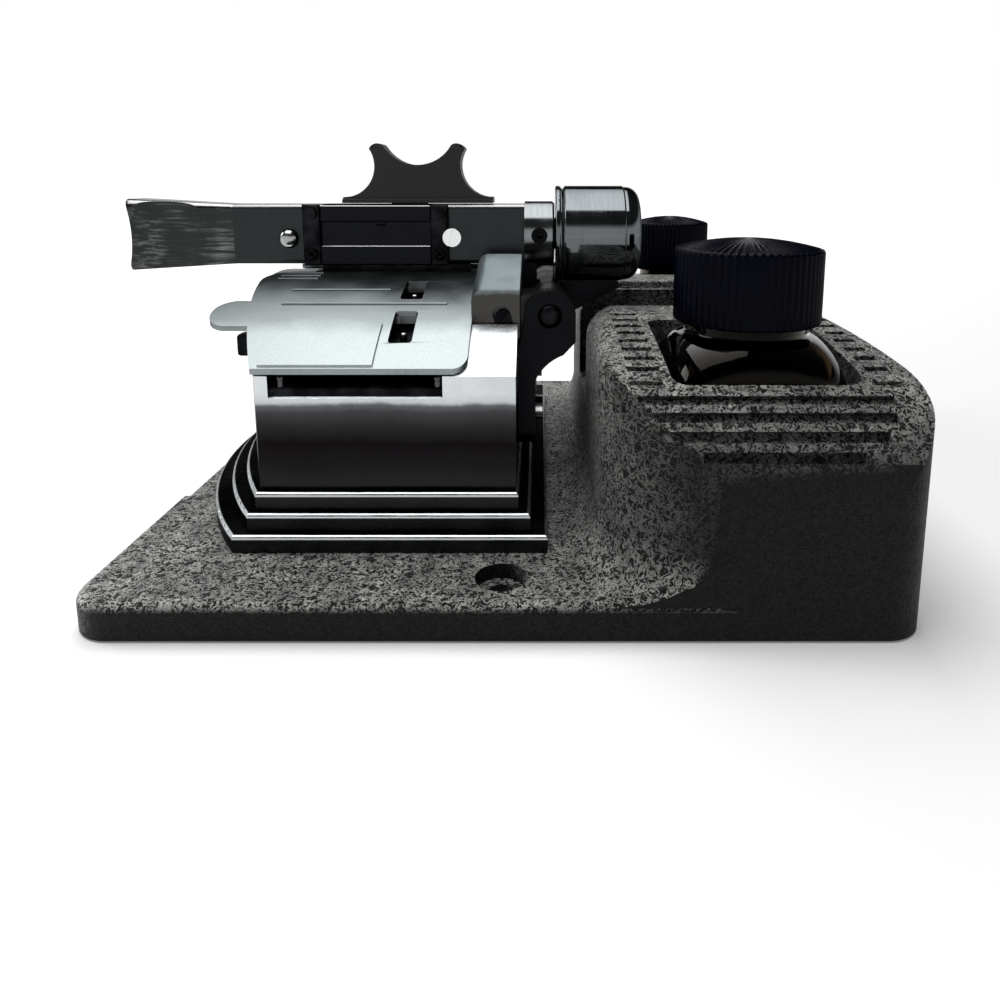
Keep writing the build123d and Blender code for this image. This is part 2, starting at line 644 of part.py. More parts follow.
with BuildPart() as hinge_pin:
    with BuildSketch(Plane.XZ.offset(-EAR_OUTER)) as pin_section:
        with Locations((HINGE_X, HINGE_Z)):
            Circle(HINGE_PIN_RADIUS)
    extrude(amount=2 * EAR_OUTER)
    with BuildSketch(Plane.XZ.offset(EAR_OUTER)) as front_head:
        with Locations((HINGE_X, HINGE_Z)):
            Circle(PIN_HEAD_RADIUS)
    extrude(amount=PIN_HEAD_HEIGHT)
    with BuildSketch(Plane.XZ.offset(-EAR_OUTER)) as rear_head:
        with Locations((HINGE_X, HINGE_Z)):
            Circle(PIN_HEAD_RADIUS)
    extrude(amount=-PIN_HEAD_HEIGHT)
    head_rims = hinge_pin.faces().sort_by(Axis.Y)[0].edges() + hinge_pin.faces().sort_by(Axis.Y)[-1].edges()
    fillet(head_rims, PIN_HEAD_HEIGHT - 0.2)

hinge_pin.part.label = "hinge_pin"
export_step(hinge_pin.part, "parts/hinge_pin.step")

# ================================================================ clamps
with BuildPart() as front_clamp_plate:
    # arched sheet
    with BuildSketch(Plane.YZ.offset(-70)) as clamp_section:
        add(arch_band(CLAMP_TOP_RADIUS, CLAMP_TOP_RADIUS - CLAMP_THICKNESS, -BODY_HALF_DEPTH - 1, -CLAMP_INNER_Y + 1))
    extrude(amount=90)
    # plan: bowed left edge with its finger tab, rounded corners, tongue under the knuckle
    with BuildSketch(Plane.XY) as clamp_plan:
        with BuildLine():
            bow = ThreePointArc((-40.6, -BODY_HALF_DEPTH), (-47.6, -28.0), (-50.0, -CLAMP_INNER_Y))
            Polyline(
                bow @ 1,
                (CLAMP_RIGHT, -CLAMP_INNER_Y),
                (CLAMP_RIGHT, -BODY_HALF_DEPTH),
                bow @ 0,
            )
        make_face()
        fillet(clamp_plan.vertices().group_by(Axis.X)[-1], 3)
        fillet(clamp_plan.vertices().sort_by(Axis.X)[0], 7)
        with Locations((-47.0, TAB_Y)):
            RectangleRounded(15, 9.5, 4.6)
        with Locations((KNUCKLE_LEFT + 1, (KNUCKLE_FRONT_Y + KNUCKLE_REAR_Y) / 2)):
            Rectangle(7, KNUCKLE_REAR_Y - KNUCKLE_FRONT_Y - 4)
    extrude(amount=80, mode=Mode.INTERSECT)
    # raised pressing pad and stiffening beads
    with BuildSketch(Plane.YZ.offset(PAD_LEFT)) as pad_section:
        add(arch_band(CLAMP_TOP_RADIUS + 0.45, CLAMP_TOP_RADIUS - 0.2, -BODY_HALF_DEPTH + 0.3, -37.2))
    extrude(amount=PAD_WIDTH)
    for bead_y, bead_left, bead_right in CLAMP_BEADS:
        with BuildSketch(Plane.YZ.offset(bead_left)):
            with Locations((bead_y, arch_z(CLAMP_TOP_RADIUS, bead_y) - 0.2)):
                Circle(BEAD_RADIUS)
        extrude(amount=bead_right - bead_left)
    # slots over the registration pins
    with BuildSketch(Plane.XY.offset(30)) as clamp_slots:
        with Locations(*CLAMP_SLOT_PLACES):
            RectangleRounded(SLOT_WIDTH, SLOT_LENGTH, 0.8)
    extrude(amount=50, mode=Mode.SUBTRACT)

front_clamp_plate.part.label = "front_clamp_plate"
export_step(front_clamp_plate.part, "parts/front_clamp_plate.step")

# leaf under the plate that presses the film on its bed
with BuildPart() as front_film_presser:
    with BuildSketch(Plane.YZ.offset(CHANNEL_LEFT + PRESSER_GAP)) as presser_section:
        add(
            arch_band(
                CLAMP_TOP_RADIUS - CLAMP_THICKNESS,
                BED_RADIUS + 0.9,
                -BODY_HALF_DEPTH + 3.4,
                -CLAMP_INNER_Y - 0.6,
            )
        )
    extrude(amount=CHANNEL_WIDTH - 2 * PRESSER_GAP)
    with BuildSketch(Plane.XY.offset(30)) as presser_slots:
        with Locations(*CLAMP_SLOT_PLACES):
            RectangleRounded(SLOT_WIDTH + 1, SLOT_LENGTH + 1, 1.3)
    extrude(amount=50, mode=Mode.SUBTRACT)

front_film_presser.part.label = "front_film_presser"
export_step(front_film_presser.part, "parts/front_film_presser.step")

with BuildPart() as front_clamp_knuckle:
    # block over the notch, its top sloping up to the arm
    with BuildSketch(Plane.YZ.offset(KNUCKLE_LEFT)) as knuckle_section:
        with BuildLine():
            Polyline(
                (KNUCKLE_FRONT_Y, KNUCKLE_BOTTOM),
                (KNUCKLE_REAR_Y, KNUCKLE_BOTTOM),
                (KNUCKLE_REAR_Y, KNUCKLE_REAR_TOP),
                (KNUCKLE_FRONT_Y, KNUCKLE_FRONT_TOP),
                close=True,
            )
        make_face()
    extrude(amount=KNUCKLE_RIGHT - KNUCKLE_LEFT)
    sloping_edges = front_clamp_knuckle.faces().sort_by(Axis.Z)[-1].edges()
    fillet(sloping_edges.sort_by(Axis.X)[0], 2.4)
    # ear reaching the hinge pin
    with BuildSketch(Plane.XZ.offset(-KNUCKLE_REAR_Y)) as knuckle_ear:
        with Locations((HINGE_X, HINGE_Z)):
            Circle(KNUCKLE_RADIUS)
        with Locations(((KNUCKLE_RIGHT + HINGE_X) / 2 - 0.5, HINGE_Z)):
            Rectangle(HINGE_X - KNUCKLE_RIGHT + 1, 2 * 4.0)
    extrude(amount=EAR_LENGTH)
    with BuildSketch(Plane.XZ.offset(-KNUCKLE_REAR_Y)) as knuckle_bore:
        with Locations((HINGE_X, HINGE_Z)):
            Circle(HINGE_PIN_RADIUS + RUNNING_GAP)
    extrude(amount=EAR_LENGTH, mode=Mode.SUBTRACT)
    # oval counterbore for the clamp screw
    with BuildSketch(Plane.XZ.offset(-KNUCKLE_FRONT_Y)) as screw_oval:
        with Locations((CLAMP_SCREW_X, CLAMP_SCREW_Z)):
            SlotOverall(5.6, 3.8, rotation=110)
    extrude(amount=-2.0, mode=Mode.SUBTRACT)
    with BuildSketch(Plane.XZ.offset(-KNUCKLE_FRONT_Y)) as screw_bore:
        with Locations((CLAMP_SCREW_X, CLAMP_SCREW_Z)):
            Circle(1.2)
    extrude(amount=-12.0, mode=Mode.SUBTRACT)
    # the plate's tongue fits a slot in the knuckle
    add(front_clamp_plate.part, mode=Mode.SUBTRACT)

front_clamp_knuckle.part.label = "front_clamp_knuckle"
export_step(front_clamp_knuckle.part, "parts/front_clamp_knuckle.step")

with BuildPart() as front_clamp_screw:
    with BuildSketch(Plane.XZ.offset(-KNUCKLE_FRONT_Y - 2.0)) as clamp_screw_shank:
        with Locations((CLAMP_SCREW_X, CLAMP_SCREW_Z)):
            Circle(1.2)
    extrude(amount=-9.5)
    with BuildSketch(Plane.XZ.offset(-KNUCKLE_FRONT_Y - 2.0)) as clamp_screw_head:
        with Locations((CLAMP_SCREW_X, CLAMP_SCREW_Z)):
            Circle(1.75)
    extrude(amount=1.6)
    with BuildSketch(Plane.XZ.offset(-KNUCKLE_FRONT_Y - 0.4)) as clamp_screw_slot:
        with Locations((CLAMP_SCREW_X, CLAMP_SCREW_Z)):
            Rectangle(5, 0.5, rotation=60)
    extrude(amount=-0.7, mode=Mode.SUBTRACT)

front_clamp_screw.part.label = "front_clamp_screw"
export_step(front_clamp_screw.part, "parts/front_clamp_screw.step")

with BuildPart() as rear_clamp_plate:
    mirror(front_clamp_plate.part, about=Plane.XZ)

rear_clamp_plate.part.label = "rear_clamp_plate"
export_step(rear_clamp_plate.part, "parts/rear_clamp_plate.step")

with BuildPart() as rear_film_presser:
    mirror(front_film_presser.part, about=Plane.XZ)

rear_film_presser.part.label = "rear_film_presser"
export_step(rear_film_presser.part, "parts/rear_film_presser.step")

with BuildPart() as rear_clamp_knuckle:
    mirror(front_clamp_knuckle.part, about=Plane.XZ)

rear_clamp_knuckle.part.label = "rear_clamp_knuckle"
export_step(rear_clamp_knuckle.part, "parts/rear_clamp_knuckle.step")

with BuildPart() as rear_clamp_screw:
    mirror(front_clamp_screw.part, about=Plane.XZ)

rear_clamp_screw.part.label = "rear_clamp_screw"
export_step(rear_clamp_screw.part, "parts/rear_clamp_screw.step")

# ================================================================ arm
with BuildPart() as arm_frame:
    with BuildSketch(Plane.YZ.offset(ARM_LEFT)) as bar_section:
        with Locations((0, (ARM_BOTTOM + ARM_TOP) / 2)):
            RectangleRounded(2 * ARM_HALF_WIDTH, ARM_TOP - ARM_BOTTOM, 1.2)
    extrude(amount=ARM_RIGHT - ARM_LEFT)
    # window for the scraper carriage, open at the front, the top and below
    with Locations(((SLIDE_LEFT + SLIDE_RIGHT) / 2, -ARM_BACK / 2 - 5, (ARM_BOTTOM + ARM_TOP) / 2)):
        Box(SLIDE_RIGHT - SLIDE_LEFT, 2 * ARM_HALF_WIDTH - ARM_BACK + 10, 30, mode=Mode.SUBTRACT)
    # guide rod holes
    with BuildSketch(Plane.YZ.offset(SLIDE_LEFT - ROD_BITE)) as rod_holes:
        with Locations(*ROD_PLACES):
            Circle(ROD_RADIUS)
    extrude(amount=SLIDE_RIGHT - SLIDE_LEFT + 2 * ROD_BITE, mode=Mode.SUBTRACT)
    # spindle bore at the right end
    with BuildSketch(Plane.YZ.offset(ARM_RIGHT)) as frame_spindle_bore:
        with Locations((0, ARM_AXIS_Z)):
            Circle(SPINDLE_RADIUS)
    extrude(amount=-SPINDLE_BITE, mode=Mode.SUBTRACT)
    # holes for the pin and screws on the front face
    with BuildSketch(Plane.XZ.offset(ARM_HALF_WIDTH)) as frame_front_holes:
        with Locations(*FRONT_HOLES):
            Circle(FRONT_SHANK_RADIUS)
    extrude(amount=-3.0, mode=Mode.SUBTRACT)

arm_frame.part.label = "arm_frame"
export_step(arm_frame.part, "parts/arm_frame.step")

# finger pad, flared to its tip and scooped at the front
with BuildPart() as arm_handle:
    with BuildSketch(Plane.YZ.offset(ARM_LEFT)) as handle_root:
        with Locations((0, (ARM_BOTTOM + ARM_TOP) / 2)):
            RectangleRounded(2 * ARM_HALF_WIDTH, ARM_TOP - ARM_BOTTOM, 1.2)
    with BuildSketch(Plane.YZ.offset(HANDLE_TIP)) as handle_end:
        with Locations((0, ARM_AXIS_Z)):
            RectangleRounded(13.0, 18.0, 2.4)
    loft()
    # concave end and concave upper and lower edges
    with BuildSketch(Plane.XZ.offset(-20)) as handle_scoops:
        with Locations((HANDLE_TIP - 33.0, ARM_AXIS_Z)):
            Circle(34.2)
    extrude(amount=40, mode=Mode.SUBTRACT)
    with BuildSketch(Plane.XY.offset(40)) as thumb_scoop:
        with Locations((HANDLE_TIP + 11.0, -30.0)):
            Circle(25.4)
    extrude(amount=50, mode=Mode.SUBTRACT)

arm_handle.part.label = "arm_handle"
export_step(arm_handle.part, "parts/arm_handle.step")

with BuildPart() as arm_spindle:
    with BuildSketch(Plane.YZ.offset(ARM_RIGHT - SPINDLE_BITE)) as spindle_section:
        with Locations((0, ARM_AXIS_Z)):
            Circle(SPINDLE_RADIUS)
    extrude(amount=SPINDLE_END - ARM_RIGHT + SPINDLE_BITE)
    chamfer(arm_spindle.edges().filter_by(GeomType.CIRCLE).group_by(Axis.X)[-1], 0.6)

arm_spindle.part.label = "arm_spindle"
export_step(arm_spindle.part, "parts/arm_spindle.step")

with BuildPart() as arm_collar:
    with BuildSketch(Plane.YZ.offset(ARM_RIGHT)) as collar_section:
        with Locations((0, ARM_AXIS_Z)):
            Circle(COLLAR_RADIUS)
            Circle(SPINDLE_RADIUS, mode=Mode.SUBTRACT)
    extrude(amount=COLLAR_RIGHT - ARM_RIGHT)
    chamfer(arm_collar.faces().sort_by(Axis.X)[-1].outer_wire().edges(), 0.5)
    with BuildSketch(Plane.XZ.offset(COLLAR_RADIUS + 1)) as collar_screw_hole:
        with Locations(((ARM_RIGHT + COLLAR_RIGHT) / 2, ARM_AXIS_Z)):
            Circle(COLLAR_HOLE_RADIUS)
    extrude(amount=-COLLAR_RADIUS, mode=Mode.SUBTRACT)

arm_collar.part.label = "arm_collar"
export_step(arm_collar.part, "parts/arm_collar.step")

with BuildPart() as collar_screw:
    with BuildSketch(Plane.XZ.offset(SPINDLE_RADIUS)) as collar_screw_section:
        with Locations(((ARM_RIGHT + COLLAR_RIGHT) / 2, ARM_AXIS_Z)):
            Circle(COLLAR_HOLE_RADIUS)
            RegularPolygon(1.0, 6, mode=Mode.SUBTRACT)
    extrude(amount=2.6)

collar_screw.part.label = "collar_screw"
export_step(collar_screw.part, "parts/collar_screw.step")

# casting that carries the arm on the hinge pin
with BuildPart() as arm_casting:
    with BuildSketch(Plane.XZ.offset(-CASTING_HALF)) as casting_web:
        with BuildLine():
            Polyline(
                (HINGE_X - 6.6, HINGE_Z + 1),
                (HINGE_X - 6.6, ARM_AXIS_Z),
                (HINGE_X - 3.0, ARM_AXIS_Z),
                (HINGE_X - 3.0, HINGE_Z + 4.8),
                (HINGE_X + 1.2, HINGE_Z + 4.8),
                (HINGE_X + 1.2, ARM_AXIS_Z - 7),
                (KNOB_SEAM - 1, ARM_AXIS_Z - 7),
                (KNOB_SEAM - 1, HINGE_Z + 2.6),
                (HINGE_X + 4.2, HINGE_Z - 4.4),
                close=True,
            )
        make_face()
        with Locations((HINGE_X, HINGE_Z)):
            Circle(KNUCKLE_RADIUS)
    extrude(amount=2 * CASTING_HALF)
    with BuildSketch(Plane.XZ.offset(-BOSS_HALF)) as casting_boss:
        with Locations((HINGE_X, HINGE_Z)):
            Circle(KNUCKLE_RADIUS)
    extrude(amount=2 * BOSS_HALF)
    with BuildSketch(Plane.XZ.offset(-BOSS_HALF)) as casting_bore:
        with Locations((HINGE_X, HINGE_Z)):
            Circle(HINGE_PIN_RADIUS + RUNNING_GAP)
    extrude(amount=2 * BOSS_HALF, mode=Mode.SUBTRACT)
    # seat of the collar, clearance round the knob, seat of the bar
    with BuildSketch(Plane.YZ.offset(HINGE_X - 10)) as collar_seat:
        with Locations((0, ARM_AXIS_Z)):
            Circle(COLLAR_RADIUS)
    extrude(amount=COLLAR_RIGHT - HINGE_X + 10, mode=Mode.SUBTRACT)
    with BuildSketch(Plane.YZ.offset(COLLAR_RIGHT)) as knob_clearance:
        with Locations((0, ARM_AXIS_Z)):
            Circle(KNOB_RADIUS + 0.3)
    extrude(amount=40, mode=Mode.SUBTRACT)
    with Locations((ARM_RIGHT - 5, 0, (ARM_BOTTOM + ARM_TOP) / 2)):
        Box(10, 2 * ARM_HALF_WIDTH + 2, ARM_TOP - ARM_BOTTOM, mode=Mode.SUBTRACT)

arm_casting.part.label = "arm_casting"
export_step(arm_casting.part, "parts/arm_casting.step")

with BuildPart() as guide_rods:
    with BuildSketch(Plane.YZ.offset(SLIDE_LEFT - ROD_BITE)) as rod_sections:
        with Locations(*ROD_PLACES):
            Circle(ROD_RADIUS)
    extrude(amount=SLIDE_RIGHT - SLIDE_LEFT + 2 * ROD_BITE)

guide_rods.part.label = "guide_rods"
export_step(guide_rods.part, "parts/guide_rods.step")

# dark plates on the front face: one at each end of the window and the cover between
with BuildPart() as arm_end_blocks:
    with BuildSketch(Plane.XZ.offset(ARM_HALF_WIDTH)) as end_block_faces:
        with Locations(*((x, ARM_AXIS_Z) for x in END_BLOCK_X)):
            Rectangle(END_BLOCK_WIDTH, END_BLOCK_HEIGHT)
        with Locations(*((x, z) for x, z in END_SCREW_PLACES)):
            Circle(FRONT_SHANK_RADIUS, mode=Mode.SUBTRACT)
    extrude(amount=END_BLOCK_THICKNESS)
    chamfer(arm_end_blocks.faces().sort_by(Axis.Y)[:2].edges().filter_by(GeomType.LINE), 0.3)
    # relieved round the head of the arm screw
    with BuildSketch(Plane.XZ.offset(ARM_HALF_WIDTH)) as screw_relief:
        with Locations(ARM_SCREW_PLACE):
            Circle(ARM_SCREW_HEAD_RADIUS + 0.15)
    extrude(amount=END_BLOCK_THICKNESS, mode=Mode.SUBTRACT)

arm_end_blocks.part.label = "arm_end_blocks"
export_step(arm_end_blocks.part, "parts/arm_end_blocks.step")

with BuildPart() as slide_cover:
    with BuildSketch(Plane.XZ.offset(ARM_HALF_WIDTH)) as cover_face:
        with Locations(((COVER_LEFT + COVER_RIGHT) / 2, COVER_Z)):
            Rectangle(COVER_RIGHT - COVER_LEFT, COVER_HEIGHT)
        with Locations(((COVER_LEFT + COVER_RIGHT) / 2, COVER_Z - 3.0)):
            Circle(1.0, mode=Mode.SUBTRACT)
    extrude(amount=1.4)
    with BuildSketch(Plane.XZ.offset(ARM_HALF_WIDTH)) as cover_ledge:
        with Locations(((COVER_LEFT + COVER_RIGHT) / 2, COVER_Z - COVER_HEIGHT / 2 - 0.6)):
            Rectangle(COVER_RIGHT - COVER_LEFT, 1.2)
    extrude(amount=2.2)

slide_cover.part.label = "slide_cover"
export_step(slide_cover.part, "parts/slide_cover.step")

with BuildPart() as end_block_screws:
    with BuildSketch(Plane.XZ.offset(ARM_HALF_WIDTH - 2.5)) as end_screw_shanks:
        with Locations(*END_SCREW_PLACES):
            Circle(FRONT_SHANK_RADIUS)
    extrude(amount=2.5 + END_BLOCK_THICKNESS)
    with BuildSketch(Plane.XZ.offset(ARM_HALF_WIDTH + END_BLOCK_THICKNESS)) as end_screw_heads:
        with Locations(*END_SCREW_PLACES):
            Circle(1.5)
    extrude(amount=0.9)

end_block_screws.part.label = "end_block_screws"
export_step(end_block_screws.part, "parts/end_block_screws.step")

with BuildPart() as handle_pin:
    with BuildSketch(Plane.XZ.offset(ARM_HALF_WIDTH - 2.5)) as handle_pin_shank:
        with Locations(HANDLE_PIN_PLACE):
            Circle(FRONT_SHANK_RADIUS)
    extrude(amount=2.5)
    with BuildSketch(Plane.XZ.offset(ARM_HALF_WIDTH)) as handle_pin_head:
        with Locations(HANDLE_PIN_PLACE):
            Circle(2.5)
    extrude(amount=2.4)
    fillet(handle_pin.edges().sort_by(Axis.Y)[0], 2.2)

handle_pin.part.label = "handle_pin"
export_step(handle_pin.part, "parts/handle_pin.step")

with BuildPart() as arm_screw:
    with BuildSketch(Plane.XZ.offset(ARM_HALF_WIDTH - 2.5)) as arm_screw_shank:
        with Locations(ARM_SCREW_PLACE):
            Circle(FRONT_SHANK_RADIUS)
    extrude(amount=2.5)
    with BuildSketch(Plane.XZ.offset(ARM_HALF_WIDTH)) as arm_screw_head:
        with Locations(ARM_SCREW_PLACE):
            Circle(ARM_SCREW_HEAD_RADIUS)
    extrude(amount=1.8)
    with BuildSketch(Plane.XZ.offset(ARM_HALF_WIDTH + 1.2)) as arm_screw_slot:
        with Locations(ARM_SCREW_PLACE):
            Rectangle(6, 0.6, rotation=75)
    extrude(amount=1, mode=Mode.SUBTRACT)

arm_screw.part.label = "arm_screw"
export_step(arm_screw.part, "parts/arm_screw.step")

# upper cutter blade under the front edge of the arm
with BuildPart() as moving_cutter_blade:
    with BuildSketch(Plane.YZ.offset(CUTTER_LEFT)) as cutter_section:
        with BuildLine():
            Polyline(
                (-CUTTER_FRONT, ARM_BOTTOM),
                (-CUTTER_FRONT, CUTTER_EDGE_Z + 0.5),
                (-CUTTER_BACK, CUTTER_EDGE_Z),
                (-CUTTER_BACK, ARM_BOTTOM),
                close=True,
            )
        make_face()
    extrude(amount=CUTTER_RIGHT - CUTTER_LEFT)

moving_cutter_blade.part.label = "moving_cutter_blade"
export_step(moving_cutter_blade.part, "parts/moving_cutter_blade.step")

# ---------------------------------------------------------------- knob
with BuildPart() as knob_barrel:
    with BuildSketch(Plane.YZ.offset(KNOB_LEFT)) as knob_rim:
        with Locations((0, ARM_AXIS_Z)):
            Circle(KNOB_RADIUS)
    extrude(amount=1.4)
    with BuildSketch(Plane.YZ.offset(KNOB_LEFT + 1.4)) as knob_neck:
        with Locations((0, ARM_AXIS_Z)):
            Circle(KNOB_RADIUS - 0.7)
    extrude(amount=0.8)
    with BuildSketch(Plane.YZ.offset(KNOB_LEFT + 2.2)) as knob_drum:
        with Locations((0, ARM_AXIS_Z)):
            Circle(KNOB_RADIUS)
    extrude(amount=KNOB_SEAM - KNOB_LEFT - 2.2)
    with BuildSketch(Plane.YZ.offset(KNOB_LEFT)) as knob_bore:
        with Locations((0, ARM_AXIS_Z)):
            Circle(SPINDLE_RADIUS + RUNNING_GAP)
    extrude(amount=KNOB_SEAM - KNOB_LEFT, mode=Mode.SUBTRACT)
    with BuildSketch(Plane.YZ.offset(KNOB_SEAM)) as knob_cavity:
        with Locations((0, ARM_AXIS_Z)):
            Circle(KNOB_RADIUS - 2.2)
    extrude(amount=-SPRING_LENGTH - 1.2, mode=Mode.SUBTRACT)

knob_barrel.part.label = "knob_barrel"
export_step(knob_barrel.part, "parts/knob_barrel.step")

with BuildPart() as knob_cap:
    with BuildSketch(Plane.YZ.offset(KNOB_SEAM)) as cap_disc:
        with Locations((0, ARM_AXIS_Z)):
            Circle(KNOB_RADIUS - 0.3)
    extrude(amount=KNOB_TIP - KNOB_SEAM)
    fillet(knob_cap.faces().sort_by(Axis.X)[-1].edges(), KNOB_TIP - KNOB_SEAM - 0.6)
    with BuildSketch(Plane.YZ.offset(KNOB_SEAM)) as cap_spigot:
        with Locations((0, ARM_AXIS_Z)):
            Circle(KNOB_RADIUS - 2.2)
    extrude(amount=-1.2)

knob_cap.part.label = "knob_cap"
export_step(knob_cap.part, "parts/knob_cap.step")

# coil spring that loads the knob along the spindle
with BuildPart() as knob_spring:
    with BuildLine():
        coil = Helix(
            pitch=SPRING_LENGTH / SPRING_TURNS,
            height=SPRING_LENGTH - 1.4,
            radius=SPRING_RADIUS,
            center=(KNOB_SEAM - 1.2 - SPRING_LENGTH + 0.7, 0, ARM_AXIS_Z),
            direction=(1, 0, 0),
        )
    with BuildSketch(Plane(origin=coil @ 0, z_dir=coil % 0)):
        RegularPolygon(SPRING_WIRE_RADIUS, 8)
    sweep(is_frenet=True)

knob_spring.part.label = "knob_spring"
export_step(knob_spring.part, "parts/knob_spring.step")

# ---------------------------------------------------------------- scraper
with BuildPart() as scraper_carriage:
    with Locations((CARRIAGE_X, (CARRIAGE_FRONT + CARRIAGE_BACK) / 2, (CARRIAGE_BOTTOM + CARRIAGE_TOP) / 2)):
        Box(CARRIAGE_WIDTH, CARRIAGE_BACK - CARRIAGE_FRONT, CARRIAGE_TOP - CARRIAGE_BOTTOM)
    with BuildSketch(Plane.YZ.offset(CARRIAGE_X - CARRIAGE_WIDTH / 2)) as carriage_bores:
        with Locations(*ROD_PLACES):
            Circle(ROD_RADIUS + RUNNING_GAP)
    extrude(amount=CARRIAGE_WIDTH, mode=Mode.SUBTRACT)
    # stem up through the window to the grip
    with Locations((CARRIAGE_X, (CARRIAGE_FRONT + CARRIAGE_BACK) / 2, CARRIAGE_TOP)):
        Box(
            CARRIAGE_WIDTH - 2,
            2.6,
            GRIP_FOOT_Z - CARRIAGE_TOP,
            align=(Align.CENTER, Align.CENTER, Align.MIN),
        )
    # slit that holds the blade
    with Locations((CARRIAGE_X, BLADE_Y, CARRIAGE_BOTTOM)):
        Box(CARRIAGE_WIDTH - 1, BLADE_THICKNESS, 4, mode=Mode.SUBTRACT)

scraper_carriage.part.label = "scraper_carriage"
export_step(scraper_carriage.part, "parts/scraper_carriage.step")

with BuildPart() as scraper_blade:
    with BuildSketch(Plane.YZ.offset(CARRIAGE_X - CARRIAGE_WIDTH / 2 + 0.5)) as blade_section:
        with BuildLine():
            Polyline(
                (BLADE_Y - BLADE_THICKNESS / 2, CARRIAGE_BOTTOM + 2),
                (BLADE_Y + BLADE_THICKNESS / 2, CARRIAGE_BOTTOM + 2),
                (BLADE_Y + BLADE_THICKNESS / 2, BLADE_EDGE_Z + 1.2),
                (BLADE_Y - BLADE_THICKNESS / 2 + 0.1, BLADE_EDGE_Z),
                (BLADE_Y - BLADE_THICKNESS / 2, BLADE_EDGE_Z),
                close=True,
            )
        make_face()
    extrude(amount=CARRIAGE_WIDTH - 1)

scraper_blade.part.label = "scraper_blade"
export_step(scraper_blade.part, "parts/scraper_blade.step")

# two-horned finger grip
with BuildPart() as scraper_grip:
    with BuildSketch(Plane.XZ.offset(-GRIP_HALF)) as grip_outline:
        with BuildLine():
            saddle = ThreePointArc(
                (GRIP_X - 8.6, HORN_TOP - 0.3),
                (GRIP_X, SADDLE_Z),
                (GRIP_X + 8.6, HORN_TOP - 0.3),
            )
            right_tip = ThreePointArc(saddle @ 1, (GRIP_X + 10.6, HORN_TOP), (GRIP_X + 12.0, HORN_TOP - 1.2))
            right_side = ThreePointArc(
                right_tip @ 1,
                (GRIP_X + 10.9, GRIP_WAIST_Z),
                (GRIP_X + 19.0, GRIP_FOOT_Z + 1.5),
            )
            left_tip = ThreePointArc((GRIP_X - 12.0, HORN_TOP - 1.2), (GRIP_X - 10.6, HORN_TOP), saddle @ 0)
            left_side = ThreePointArc(
                (GRIP_X - 19.0, GRIP_FOOT_Z + 1.5),
                (GRIP_X - 10.9, GRIP_WAIST_Z),
                left_tip @ 0,
            )
            Polyline(
                right_side @ 1,
                (GRIP_X + 19.0, GRIP_FOOT_Z),
                (GRIP_X - 19.0, GRIP_FOOT_Z),
                left_side @ 0,
            )
        make_face()
    extrude(amount=2 * GRIP_HALF)
    with Locations((GRIP_X, 0, GRIP_FOOT_Z)):
        Box(38.0, 8.0, 1.0, align=(Align.CENTER, Align.CENTER, Align.MIN))

scraper_grip.part.label = "scraper_grip"
export_step(scraper_grip.part, "parts/scraper_grip.step")

